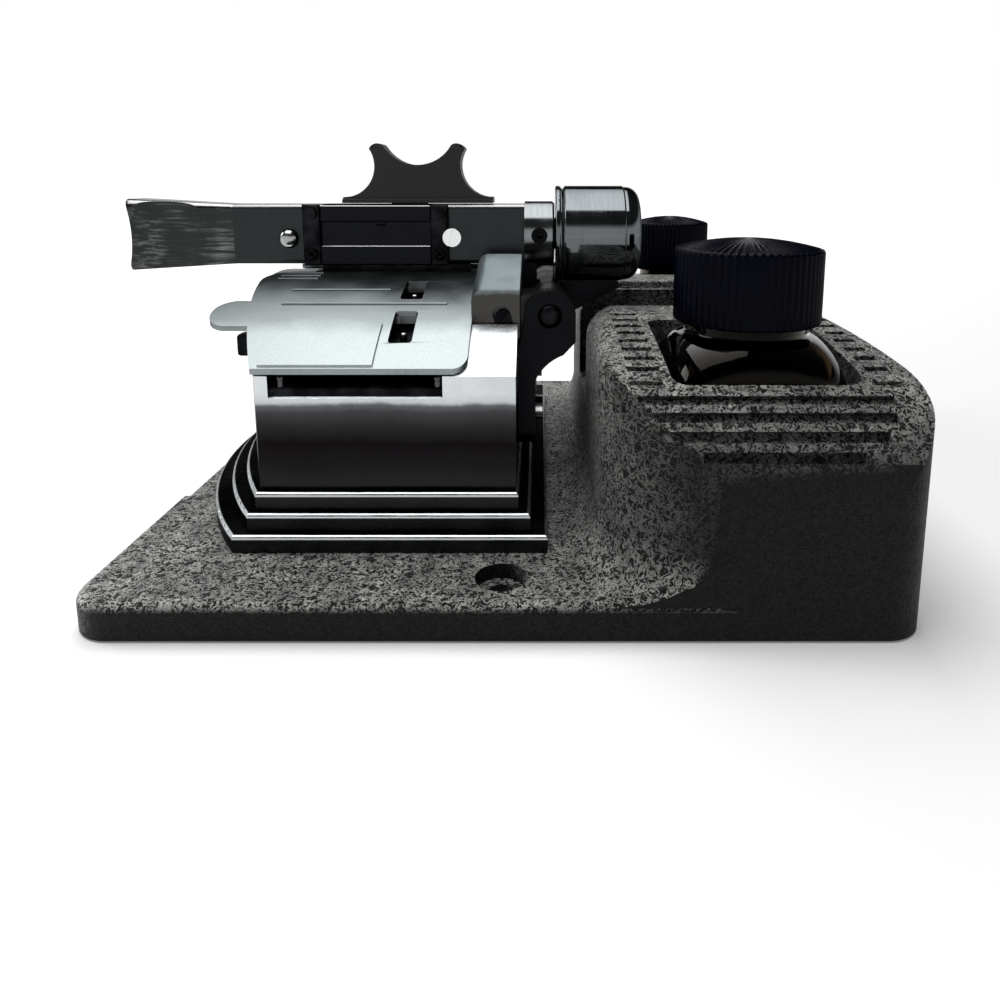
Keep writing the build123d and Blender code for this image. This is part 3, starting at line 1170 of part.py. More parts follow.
# ================================================================ bottles
for side, cap_radius, neck_radius in BOTTLES:
    prefix = "front" if side < 0 else "rear"
    centre = (POCKET_X, side * POCKET_Y)
    with BuildPart() as bottle:
        with BuildSketch(Plane.XY.offset(BOTTLE_BOTTOM)):
            with Locations(centre):
                RectangleRounded(BOTTLE_WIDTH, BOTTLE_WIDTH, 5)
        extrude(amount=BOTTLE_SHOULDER - BOTTLE_BOTTOM)
        with BuildSketch(Plane.XY.offset(BOTTLE_SHOULDER)):
            with Locations(centre):
                RegularPolygon(BOTTLE_WIDTH / 2, 8, major_radius=False, rotation=22.5)
        with BuildSketch(Plane.XY.offset(BOTTLE_NECK_Z)):
            with Locations(centre):
                RegularPolygon(neck_radius, 8, major_radius=False, rotation=22.5)
        loft()
        with BuildSketch(Plane.XY.offset(BOTTLE_NECK_Z)):
            with Locations(centre):
                Circle(neck_radius - 0.5)
        extrude(amount=BOTTLE_LIP_Z - BOTTLE_NECK_Z)
        # inside
        with BuildSketch(Plane.XY.offset(BOTTLE_BOTTOM + BOTTLE_WALL)):
            with Locations(centre):
                RectangleRounded(BOTTLE_WIDTH - 2 * BOTTLE_WALL, BOTTLE_WIDTH - 2 * BOTTLE_WALL, 3.5)
        extrude(amount=BOTTLE_SHOULDER - BOTTLE_BOTTOM - BOTTLE_WALL - 2, mode=Mode.SUBTRACT)
        with BuildSketch(Plane.XY.offset(BOTTLE_SHOULDER - 3)):
            with Locations(centre):
                Circle(neck_radius - 2.2)
        extrude(amount=30, mode=Mode.SUBTRACT)
    bottle.part.label = prefix + "_bottle"
    export_step(bottle.part, "parts/" + prefix + "_bottle.step")

    with BuildPart() as bottle_cap:
        with BuildSketch(Plane.XY.offset(CAP_BOTTOM)) as cap_skirt:
            with Locations(centre):
                Circle(cap_radius)
            with Locations(centre):
                with PolarLocations(cap_radius + FLUTE_DEPTH / 2, CAP_FLUTES):
                    Rectangle(2 * FLUTE_DEPTH, 2 * FLUTE_DEPTH, rotation=45, mode=Mode.SUBTRACT)
        extrude(amount=CAP_TOP - CAP_CROWN - CAP_BOTTOM)
        with BuildSketch(Plane.XY.offset(CAP_TOP - CAP_CROWN)) as cap_crown:
            with Locations(centre):
                Circle(cap_radius - FLUTE_DEPTH)
        extrude(amount=CAP_CROWN, taper=40)
        with BuildSketch(Plane.XY.offset(CAP_BOTTOM)):
            with Locations(centre):
                Circle(neck_radius - 0.5 + 0.3)
        extrude(amount=BOTTLE_LIP_Z + LINER_THICKNESS - CAP_BOTTOM, mode=Mode.SUBTRACT)
    bottle_cap.part.label = prefix + "_bottle_cap"
    export_step(bottle_cap.part, "parts/" + prefix + "_bottle_cap.step")

    with BuildPart() as cap_liner:
        with BuildSketch(Plane.XY.offset(BOTTLE_LIP_Z + 0.05)):
            with Locations(centre):
                Circle(neck_radius - 0.5)
        extrude(amount=LINER_THICKNESS - 0.05)
    cap_liner.part.label = prefix + "_cap_liner"
    export_step(cap_liner.part, "parts/" + prefix + "_cap_liner.step")

    # applicator brush fixed in the cap
    with BuildPart() as cap_brush:
        with BuildSketch(Plane.XY.offset(BRUSH_TUFT_TOP)):
            with Locations(centre):
                Circle(1.4)
        extrude(amount=BOTTLE_LIP_Z + 0.05 - BRUSH_TUFT_TOP)
        with BuildSketch(Plane.XY.offset(BRUSH_TUFT_TOP - 10)):
            with Locations(centre):
                Ellipse(1.0, 0.6)
        with BuildSketch(Plane.XY.offset(BRUSH_TUFT_TOP)):
            with Locations(centre):
                Ellipse(1.9, 1.5)
        loft()
    cap_brush.part.label = prefix + "_cap_brush"
    export_step(cap_brush.part, "parts/" + prefix + "_cap_brush.step")
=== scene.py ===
"""Bench film splicer: its finishes, dressed pieces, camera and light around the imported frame.

Every length is in metres, in the frame of the part: the origin is the middle of the
footprint on the table, +X runs along the arm to the right, +Y to the rear, +Z up.
"""

import itertools
import logging
import math
from dataclasses import dataclass, field
from enum import Enum
from typing import ClassVar

import bmesh
import bpy
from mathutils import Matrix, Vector


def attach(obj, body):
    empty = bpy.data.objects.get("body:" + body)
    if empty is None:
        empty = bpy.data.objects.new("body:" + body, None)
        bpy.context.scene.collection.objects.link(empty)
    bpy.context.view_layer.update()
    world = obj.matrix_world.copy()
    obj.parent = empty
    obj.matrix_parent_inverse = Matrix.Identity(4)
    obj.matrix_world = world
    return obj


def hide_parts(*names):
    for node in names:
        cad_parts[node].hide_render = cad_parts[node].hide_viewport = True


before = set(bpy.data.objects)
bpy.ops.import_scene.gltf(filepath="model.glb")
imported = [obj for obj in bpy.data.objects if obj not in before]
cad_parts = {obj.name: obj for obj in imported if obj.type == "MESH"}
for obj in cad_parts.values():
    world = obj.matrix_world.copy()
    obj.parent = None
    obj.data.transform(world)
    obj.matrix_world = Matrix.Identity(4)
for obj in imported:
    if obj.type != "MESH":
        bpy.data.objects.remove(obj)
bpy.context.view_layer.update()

LOG = logging.getLogger("splicer")
# The sockets of a Mix node that mixes colours: by name they would be mistaken for its other ones.
COLOUR_A, COLOUR_B, COLOUR_OUT = 6, 7, 2
# The values between which a noise mostly lies.
NOISE_LOW, NOISE_HIGH = 0.3, 0.7

Colour = tuple[float, float, float]
Point = tuple[float, float, float]
Stops = tuple[tuple[float, float], ...]
Span = tuple[float, float]
Node = bpy.types.Node
Mesh = bmesh.types.BMesh
Ring = list[bmesh.types.BMVert]
Faces = list[bmesh.types.BMFace]

UP: Point = (0.0, 0.0, 1.0)


class Grain(Enum):
    """The way that the brush marks of a metal run, as the stretch of its noise."""

    ALONG_X = (0.04, 1.0, 1.0)
    AROUND_X = (1.0, 0.05, 0.05)
    NONE = (1.0, 1.0, 1.0)


class Graph:
    """The node tree of one material, with short calls for the nodes that the finishes share."""

    def __init__(self, name: str) -> None:
        """Starts a material with an output and a principled shader.

        Args:
            name: the material's name.
        """
        self.material = bpy.data.materials.new(name)
        self.material.use_nodes = True
        self.tree = self.material.node_tree
        self.tree.nodes.clear()
        self.output = self.node("ShaderNodeOutputMaterial")
        self.shader = self.node("ShaderNodeBsdfPrincipled")
        self.join(self.shader, "BSDF", self.output, "Surface")
        self.place = self.node("ShaderNodeTexCoord")

    def node(self, kind: str, **settings: object) -> Node:
        """Adds one node.

        Args:
            kind: the node's type name.
            settings: attributes of the node, or values of its input sockets by name.

        Returns:
            The new node.
        """
        made = self.tree.nodes.new(kind)
        for key, value in settings.items():
            if key in made.inputs:
                made.inputs[key].default_value = value
            else:
                setattr(made, key, value)
        return made

    def join(self, start: Node, out: str | int, end: Node, into: str | int) -> None:
        """Links the socket out of one node to the socket into of another."""
        self.tree.links.new(start.outputs[out], end.inputs[into])

    def shade(self, **values: object) -> None:
        """Sets constants on the principled shader's own sockets.

        Args:
            values: the values by socket name, with underscores for its spaces.
        """
        for key, value in values.items():
            self.shader.inputs[key.replace("_", " ")].default_value = value

    def stretched(self, stretch: Point) -> Node:
        """The place on the piece, stretched, for a texture to read.

        Args:
            stretch: factors along the three axes.

        Returns:
            The mapping node.
        """
        mapping = self.node("ShaderNodeMapping", Scale=stretch)
        self.join(self.place, "Object", mapping, "Vector")
        return mapping

    def noise(
        self, scale: float, detail: float = 4.0, stretch: Point = (1, 1, 1), rough: float = 0.55
    ) -> Node:
        """Noise over the piece.

        Args:
            scale: features in a metre.
            detail: octaves.
            stretch: factors along the three axes.
            rough: how much of each finer octave is kept.

        Returns:
            The noise node, whose Fac output is near 0.5 on average.
        """
        texture = self.node("ShaderNodeTexNoise", Scale=scale, Detail=detail, Roughness=rough)
        self.join(self.stretched(stretch), "Vector", texture, "Vector")
        return texture

    def span(
        self, source: Node, out: str | int, low: float, high: float, to_low: float, to_high: float
    ) -> Node:
        """Maps a value from one range to another, clamped.

        Args:
            source: the node that gives the value.
            out: its socket.
            low: the value that becomes to_low.
            high: the value that becomes to_high.
            to_low: the result at low.
            to_high: the result at high.

        Returns:
            The map range node.
        """
        mapped = self.node("ShaderNodeMapRange", clamp=True)
        mapped.inputs["From Min"].default_value = low
        mapped.inputs["From Max"].default_value = high
        mapped.inputs["To Min"].default_value = to_low
        mapped.inputs["To Max"].default_value = to_high
        self.join(source, out, mapped, "Value")
        return mapped

    def swing(self, noise: Node, low: float, high: float) -> Node:
        """Spreads a noise over a range: it mostly lies between low and high, and never goes past them."""
        return self.span(noise, "Fac", NOISE_LOW, NOISE_HIGH, low, high)

    def level(self) -> Node:
        """The node whose Z output is the height on the piece."""
        apart = self.node("ShaderNodeSeparateXYZ")
        self.join(self.place, "Object", apart, "Vector")
        return apart

    def uneven_height(self, scale: float, reach: float) -> Node:
        """The height on the piece, moved up and down by a noise.

        Args:
            scale: the noise's features in a metre.
            reach: how far it moves the height either way, in metres.

        Returns:
            The maths node.
        """
        return self.calculate("ADD", self.level(), "Z", self.swing(self.noise(scale), -reach, reach))

    def mixed(self, factor: Node, out: str | int, dark: Colour | Node, light: Colour | Node) -> Node:
        """A colour between two others.

        Args:
            factor: the node that gives how near the colour is to light, from 0 to 1.
            out: its socket.
            dark: the colour at 0, or another Mix node that gives it.
            light: the colour at 1, or another Mix node that gives it.

        Returns:
            The Mix node.
        """
        mix = self.node("ShaderNodeMix", data_type="RGBA")
        for socket, colour in ((COLOUR_A, dark), (COLOUR_B, light)):
            if isinstance(colour, Node):
                self.join(colour, COLOUR_OUT, mix, socket)
            else:
                mix.inputs[socket].default_value = (*colour, 1)
        self.join(factor, out, mix, 0)
        return mix

    def paint(self, colour: Node) -> None:
        """Gives the shader the colour of a Mix node."""
        self.join(colour, COLOUR_OUT, self.shader, "Base Color")

    def roughen(self, noise: Node, middle: float, below: float, above: float) -> None:
        """Makes the roughness uneven.

        Args:
            noise: the noise that it follows.
            middle: the roughness that the finish names.
            below: how far it goes under that.
            above: how far it goes over that.
        """
        self.join(self.swing(noise, middle - below, middle + above), 0, self.shader, "Roughness")

    def profile(self, source: Node, out: str | int, stops: Stops) -> Node:
        """A value from 0 to 1 that follows stops of (place, value), with the ends held.

        Args:
            source: the node that gives the place, in the units of the stops.
            out: its socket.
            stops: pairs of place and value, in rising order of place.

        Returns:
            The colour ramp node, whose first output holds the value.
        """
        first, last = stops[0][0], stops[-1][0]
        along = self.span(source, out, first, last, 0.0, 1.0)
        ramp = self.node("ShaderNodeValToRGB")
        points = ramp.color_ramp.elements
        while len(points) < len(stops):
            points.new(0.5)
        for point, (place, value) in zip(points, stops):
            point.position = (place - first) / (last - first)
            point.color = (value, value, value, 1)
        self.join(along, 0, ramp, 0)
        return ramp

    def facing(self, way: Point, low: float, high: float, least: float) -> Node:
        """A factor that is 1 on the faces of the piece that look one way and falls to least elsewhere.

        Args:
            way: the direction, in the piece's own axes, of length 1.
            low: the cosine to that direction at which the factor starts to grow.
            high: the cosine at which it is 1.
            least: the factor below low.

        Returns:
            The map range node.
        """
        dot = self.node("ShaderNodeVectorMath", operation="DOT_PRODUCT")
        dot.inputs[1].default_value = way
        self.join(self.place, "Normal", dot, 0)
        return self.span(dot, "Value", low, high, least, 1.0)

    def calculate(self, operation: str, first: Node, out: str | int, second: float | Node) -> Node:
        """Does arithmetic on a socket and a second value.

        Args:
            operation: the maths node's operation.
            first: the node that gives the first value.
            out: its socket.
            second: a number, or the node whose first output is the second value.

        Returns:
            The maths node.
        """
        maths = self.node("ShaderNodeMath", operation=operation)
        self.join(first, out, maths, 0)
        if isinstance(second, (int, float)):
            maths.inputs[1].default_value = second
        else:
            self.join(second, 0, maths, 1)
        return maths

    def bump(self, height: Node, out: str | int, depth: float) -> None:
        """Bumps the shader's normal.

        Args:
            height: the node that gives the height.
            out: its socket.
            depth: how high a height of 1 stands, in metres.
        """
        bump = self.node("ShaderNodeBump", Strength=1.0, Distance=depth)
        self.join(height, out, bump, "Height")
        self.join(bump, "Normal", self.shader, "Normal")


@dataclass(frozen=True)
class Finish:
    """A finish that a piece is given, with what all finishes share."""

    name: str

    def graph(self) -> Graph:
        """Builds the node tree."""
        raise NotImplementedError

    def material(self) -> bpy.types.Material:
        """The material of this finish, made once."""
        return bpy.data.materials.get(self.name) or self.graph().material


@dataclass(frozen=True)
class WrinkleEnamel(Finish):
    """Black enamel that dried in fine wrinkles, whose crests carry painted silvery highlights, most on
    faces that look up and to the left towards the lamps, and some high on the walls.
    """

    trough: Colour = (0.0075, 0.0062, 0.0050)
    # Painted highlight: the silvery colour that the crests are given.
    crest_highlight: Colour = (0.88, 0.89, 0.85)
    wrinkle: float = 800.0
    wrinkle_foot: float = 0.10
    fine_wrinkle: float = 1900.0
    fine_foot: float = 0.12
    fine_share: float = 0.6
    grit: float = 3000.0
    grit_share: float = 1.1
    crests: Span = (1.00, 1.52)
    crest_power: float = 1.1
    patch: float = 230.0
    patch_span: Span = (0.34, 0.66)
    least_patch: float = 0.55
    depth: float = 0.00045
    roughness: float = 0.45
    # Painted highlight: faces that look this way, towards the lamps, get it most, the walls a little, and
    # these heights more.
    lit_side: Point = (-0.44, 0.0, 0.90)
    lit_facing: Span = (0.12, 0.90)
    highlight_on_walls: float = 0.022
    highlight_heights: Span = (0.033, 0.0455)
    high_highlight: float = 0.34
    highlight_height_noise: float = 120.0
    highlight_height_reach: float = 0.0035
    highlight_metallic: float = 0.6

    def graph(self) -> Graph:
        """Builds worm-like ridges along the contours of two noises, over finer grit."""
        g = Graph(self.name)
        coarse = self.ridges(g, self.wrinkle, self.wrinkle_foot)
        sharper = self.ridges(g, self.fine_wrinkle, self.fine_foot)
        fine = g.calculate("MULTIPLY", sharper, 0, self.fine_share)
        grit = g.calculate("MULTIPLY", g.noise(self.grit, 3), "Fac", self.grit_share)
        height = g.calculate("ADD", grit, 0, g.calculate("ADD", fine, 0, coarse))
        patch = g.noise(self.patch, 3)
        crest_highlight = g.calculate("POWER", g.span(height, 0, *self.crests, 0.0, 1.0), 0, self.crest_power)
        patches = g.span(patch, "Fac", *self.patch_span, self.least_patch, 1.0)
        patchy = g.calculate("MULTIPLY", crest_highlight, 0, patches)
        # Painted highlight: the crests are coloured silvery and a little metallic where they face the lamps
        # and high up.
        wear_and_highlight = g.calculate("MULTIPLY", patchy, 0, self.highlight_share(g))
        g.paint(g.mixed(wear_and_highlight, 0, self.trough, self.crest_highlight))
        g.join(g.calculate("MULTIPLY", wear_and_highlight, 0, self.highlight_metallic), 0, g.shader, "Metallic")
        g.roughen(patch, self.roughness, 0.06, 0.1)
        g.bump(height, 0, self.depth)
        g.shade(Specular_IOR_Level=0.16)
        return g

    def highlight_share(self, g: Graph) -> Node:
        """How much painted highlight each place gets: most on faces that look up and to the left, towards
        the lamps, and some high up.

        Args:
            g: the graph to add to.

        Returns:
            The maths node, from 0 where no highlight is painted to 1.
        """
        uneven = g.uneven_height(self.highlight_height_noise, self.highlight_height_reach)
        high = g.span(uneven, 0, *self.highlight_heights, 0.0, self.high_highlight)
        lit_facing = g.facing(self.lit_side, *self.lit_facing, self.highlight_on_walls)
        return g.calculate("MAXIMUM", lit_facing, 0, high)

    @staticmethod
    def ridges(g: Graph, scale: float, width: float) -> Node:
        """Crests along the middle contour of a noise.

        Args:
            g: the graph to add to.
            scale: features in a metre.
            width: how far from the contour the noise value of the foot of a crest is.

        Returns:
            The map range node, 1 on the crests.
        """
        source = g.noise(scale, 2.5, rough=0.6)
        source.inputs["Distortion"].default_value = 0.9
        centred = g.calculate("SUBTRACT", source, "Fac", 0.5)
        return g.span(g.calculate("ABSOLUTE", centred, 0, 0.0), 0, 0.0, width, 1.0, 0.0)


@dataclass(frozen=True)
class BrushedMetal(Finish):
    """Metal with fine brush marks and uneven polish, with painted shade at some heights and painted
    highlights on faces that look up and in streaks.
    """

    light: Colour = (0.62, 0.65, 0.68)
    dark: Colour = (0.46, 0.49, 0.52)
    # The colour of the painted shade.
    shade_colour: Colour = (0.006, 0.006, 0.008)
    roughness: float = 0.26
    grain: Grain = Grain.NONE
    grain_scale: float = 9000.0
    depth: float = 0.000012
    cloud: float = 110.0
    # Painted shade: pairs of height and how much of the lit metal shows there.
    brightness: Stops = ()
    mottle: float = 0.0006
    mottle_noise: float = 130.0
    # Painted highlight: how light the faces that look up are made.
    top_highlight: float = 0.0
    grazing: float = 1.0
    # Painted highlight: bright streaks along the brush marks.
    highlight_streaks: bool = False

    def graph(self) -> Graph:
        """Builds the polish, the brush marks, the painted shade by height and the painted highlights."""
        g = Graph(self.name)
        marks = g.noise(self.grain_scale, 3, self.grain.value)
        cloud = g.noise(self.cloud)
        # Painted highlight: bright streaks where the brush marks and the cloud both run high.
        if self.highlight_streaks:
            streak_light = g.span(marks, "Fac", 0.48, 0.78, 0.03, 1.0)
            tone = g.calculate("MULTIPLY", streak_light, 0, g.span(cloud, "Fac", 0.42, 0.66, 0.04, 1.0))
        else:
            tone = g.calculate("ADD", g.swing(marks, 0.0, 0.5), 0, g.swing(cloud, 0.0, 0.5))
        colour = g.mixed(tone, 0, self.dark, self.light)
        # Painted shade by height.
        if self.brightness:
            colour = self.shaded_by_height(g, colour)
        # Painted highlight on the faces that look up.
        if self.top_highlight:
            colour = g.mixed(g.facing(UP, 0.25, 0.75, 0.0), 0, colour, (self.top_highlight,) * 3)
        g.paint(colour)
        brushed = g.span(marks, "Fac", 0.2, 0.8, self.roughness - 0.04, self.roughness + 0.06)
        g.join(g.calculate("ADD", g.swing(cloud, -0.05, 0.07), 0, brushed), 0, g.shader, "Roughness")
        g.bump(marks, "Fac", self.depth)
        g.shade(Metallic=1.0, Specular_Tint=(self.grazing, self.grazing, self.grazing, 1))
        return g

    def lit_share(self, g: Graph, height: Node) -> Node:
        """How much of the lit metal shows through the painted shade, from 0 to 1, at an uneven height."""
        return g.profile(height, 0, self.brightness)

    def shaded_by_height(self, g: Graph, colour: Node) -> Node:
        """Darkens a colour towards the painted shade colour by height.

        Args:
            g: the graph to add to.
            colour: the mix node of the bright metal.

        Returns:
            The mix node of the metal with its painted shade.
        """
        uneven = g.uneven_height(self.mottle_noise, self.mottle)
        return g.mixed(self.lit_share(g, uneven), 0, self.shade_colour, colour)


@dataclass(frozen=True)
class BodyPlate(BrushedMetal):
    """The plated body: lit above, with painted shade low on its walls and painted highlights on the nosings
    of its steps.
    """

    step_foot: float = 0.007
    step: float = 0.0036
    steps: int = 3
    lowered: float = 0.02
    # Painted highlight on each nosing and painted shade on each riser, along one step.
    nosing_light: Stops = ((0.0, 0.03), (0.70, 0.02), (0.78, 0.95), (0.945, 0.95), (0.97, 0.02), (1.0, 0.02))

    def lit_share(self, g: Graph, height: Node) -> Node:
        """Adds the painted highlights on the nosings of the steps to the lit heights.

        Args:
            g: the graph to add to.
            height: the node of the uneven height.

        Returns:
            The maths node.
        """
        above_foot = g.calculate("ADD", g.level(), "Z", -self.step_foot)
        along = g.calculate("MULTIPLY", above_foot, 0, 1 / self.step)
        shifted = g.calculate("SUBTRACT", along, 0, self.lowered)
        # Painted highlight on each nosing, painted shade on each riser.
        nosing_light = g.profile(g.calculate("FRACT", shifted, 0, 0.0), 0, self.nosing_light)
        on_steps = g.calculate("LESS_THAN", shifted, 0, float(self.steps))
        lit_nosings = g.calculate("MULTIPLY", nosing_light, 0, on_steps)
        return g.calculate("MAXIMUM", super().lit_share(g, height), 0, lit_nosings)


@dataclass(frozen=True)
class Blackened(Finish):
    """Steel blackened in oil, worn a little lighter in places."""

    dark: Colour = (0.005, 0.005, 0.006)
    wear_and_highlight: Colour = (0.022, 0.023, 0.026)
    roughness: float = 0.36

    def graph(self) -> Graph:
        """Builds the uneven black."""
        g = Graph(self.name)
        cloud = g.noise(240, 5)
        g.paint(g.mixed(g.span(cloud, "Fac", 0.45, 0.75, 0.0, 1.0), 0, self.dark, self.wear_and_highlight))
        g.roughen(cloud, self.roughness, 0.08, 0.1)
        g.bump(g.noise(5200, 3), "Fac", 0.00003)
        g.shade(Metallic=1.0, Specular_Tint=(0.3, 0.3, 0.3, 1))
        return g


@dataclass(frozen=True)
class Moulded(Finish):
    """Moulded black plastic or rubber with a faint surface grain."""

    colour: Colour = (0.006, 0.006, 0.009)
    roughness: float = 0.30
    grain: float = 0.00002
    gloss: float = 0.3

    def graph(self) -> Graph:
        """Builds the moulded surface."""
        g = Graph(self.name)
        cloud = g.noise(180)
        lighter = tuple(1.7 * c for c in self.colour)
        g.paint(g.mixed(g.span(cloud, "Fac", 0.35, 0.7, 0.0, 1.0), 0, self.colour, lighter))
        g.roughen(cloud, self.roughness, 0.05, 0.08)
        g.bump(g.noise(3000, 3), "Fac", self.grain)
        g.shade(Specular_IOR_Level=self.gloss)
        return g


@dataclass(frozen=True)
class BottleGlass(Finish):
    """Thick amber glass with slight ripples."""

    colour: Colour = (0.030, 0.018, 0.009)

    def graph(self) -> Graph:
        """Builds the glass."""
        g = Graph(self.name)
        ripple = g.noise(90, 2)
        darker = tuple(0.85 * c for c in self.colour)
        g.paint(g.mixed(g.swing(ripple, 0.0, 1.0), 0, self.colour, darker))
        g.bump(ripple, "Fac", 0.0003)
        g.shade(Transmission_Weight=1.0, Roughness=0.03, IOR=1.5, Specular_Tint=(0.16, 0.15, 0.13, 1))
        return g


@dataclass(frozen=True)
class Plain(Finish):
    """A plain matte surface with a fine fibre, for card, bristle and liquid."""

    light: Colour = (0.6, 0.57, 0.5)
    dark: Colour = (0.5, 0.47, 0.4)
    roughness: float = 0.8
    scale: float = 2500.0

    def graph(self) -> Graph:
        """Builds the surface."""
        g = Graph(self.name)
        fibre = g.noise(self.scale)
        g.paint(g.mixed(g.swing(fibre, 0.0, 1.0), 0, self.dark, self.light))
        g.bump(fibre, "Fac", 0.00002)
        g.shade(Roughness=self.roughness)
        return g


ENAMEL = WrinkleEnamel("wrinkle enamel")
PLATE = BodyPlate(
    "body plate",
    grain=Grain.ALONG_X,
    light=(0.74, 0.77, 0.79),
    dark=(0.54, 0.57, 0.59),
    mottle=0.0004,
    # Painted shade: dark low on the walls, lit at the top.
    brightness=(
        (0.0175, 0.035),
        (0.0225, 0.012),
        (0.0275, 0.004),
        (0.0310, 0.026),
        (0.0340, 0.070),
        (0.0354, 0.17),
        (0.0362, 0.80),
        (0.0380, 1.0),
    ),
    shade_colour=(0.0042, 0.0029, 0.0038),
    grazing=0.35,
)
CLAMP_STEEL = BrushedMetal(
    "clamp steel",
    light=(0.31, 0.34, 0.34),
    dark=(0.20, 0.222, 0.226),
    shade_colour=(0.022, 0.027, 0.029),
    roughness=0.33,
    grain_scale=2600.0,
    depth=0.00002,
    # Painted reflection and shade: lit along the low front lip, darker towards the crown.
    brightness=((0.0480, 1.0), (0.0505, 0.62), (0.0540, 0.50), (0.0565, 0.22), (0.0590, 0.08)),
    grazing=0.45,
)
KNUCKLE_METAL = BrushedMetal(
    "knuckle metal",
    light=(0.26, 0.305, 0.32),
    dark=(0.20, 0.235, 0.25),
    shade_colour=(0.050, 0.047, 0.043),
    roughness=0.33,
    # Painted shade on the front face, below a lit top.
    brightness=((0.0550, 0.03), (0.0566, 1.0)),
    grazing=0.5,
)
ARM_STEEL = BrushedMetal(
    "arm steel",
    light=(0.034, 0.040, 0.040),
    dark=(0.020, 0.023, 0.024),
    roughness=0.30,
    grain=Grain.ALONG_X,
    # Painted highlight on the faces that look up.
    top_highlight=0.30,
    grazing=0.4,
)
HANDLE_STEEL = BrushedMetal(
    "handle steel",
    light=(0.24, 0.25, 0.24),
    dark=(0.024, 0.028, 0.027),
    roughness=0.18,
    grain=Grain.ALONG_X,
    grain_scale=1300.0,
    # Painted highlight on the faces that look up.
    top_highlight=0.32,
    grazing=0.4,
    # Painted highlight streaks.
    highlight_streaks=True,
)
TURNED = BrushedMetal(
    "turned metal",
    light=(0.150, 0.163, 0.168),
    dark=(0.098, 0.106, 0.111),
    roughness=0.08,
    grain=Grain.AROUND_X,
    grain_scale=2600.0,
    depth=0.000003,
    grazing=0.3,
)
COLLAR_METAL = BrushedMetal(
    "collar metal",
    light=(0.22, 0.23, 0.235),
    dark=(0.15, 0.16, 0.164),
    roughness=0.18,
    grain=Grain.AROUND_X,
    grain_scale=2600.0,
    depth=0.000004,
    grazing=0.3,
)
HINGE_STEEL = BrushedMetal(
    "hinge steel",
    light=(0.010, 0.011, 0.012),
    dark=(0.005, 0.005, 0.006),
    roughness=0.30,
    # Painted highlight on the faces that look up.
    top_highlight=0.06,
    grazing=0.25,
)
PIN_STEEL = BrushedMetal(
    "pin steel",
    light=(0.10, 0.105, 0.11),
    dark=(0.05, 0.053, 0.056),
    roughness=0.2,
    # Painted highlight on the faces that look up.
    top_highlight=0.6,
)
SCREW_STEEL = BrushedMetal(
    "screw steel",
    light=(0.42, 0.43, 0.43),
    dark=(0.24, 0.25, 0.25),
    roughness=0.16,
)
PRESSER_STEEL = BrushedMetal(
    "presser steel",
    light=(0.16, 0.165, 0.17),
    dark=(0.09, 0.093, 0.096),
    roughness=0.3,
    # Painted highlight on the faces that look up.
    top_highlight=0.22,
)
RAIL_STEEL = BrushedMetal(
    "rail steel",
    light=(0.012, 0.013, 0.016),
    dark=(0.007, 0.007, 0.009),
    roughness=0.30,
    grain=Grain.ALONG_X,
    # Painted highlight on the faces that look up.
    top_highlight=0.4,
    grazing=0.3,
)
POLISHED = BrushedMetal(
    "polished steel",
    light=(0.80, 0.81, 0.82),
    dark=(0.66, 0.67, 0.68),
    roughness=0.14,
)
GROUND = BrushedMetal(
    "ground steel",
    light=(0.48, 0.50, 0.52),
    dark=(0.34, 0.35, 0.37),
    roughness=0.24,
    grain=Grain.ALONG_X,
)
BLACK = Blackened("blackened steel")
GRIP_BLACK = Moulded("grip black", colour=(0.012, 0.012, 0.014), roughness=0.5)
CAP_BLACK = Moulded("cap black", colour=(0.0005, 0.0009, 0.0034), roughness=0.24, gloss=0.04)
RUBBER = Moulded("foot rubber", colour=(0.012, 0.012, 0.012), roughness=0.75)
GLASS = BottleGlass("bottle glass")
CARD = Plain("liner card")
BRISTLE = Plain(
    "bristle",
    light=(0.10, 0.06, 0.03),
    dark=(0.04, 0.025, 0.015),
    roughness=0.6,
    scale=6000,
)
CEMENT = Plain(
    "dark cement",
    light=(0.0060, 0.0040, 0.0025),
    dark=(0.003, 0.002, 0.001),
    roughness=0.08,
    scale=60,
)


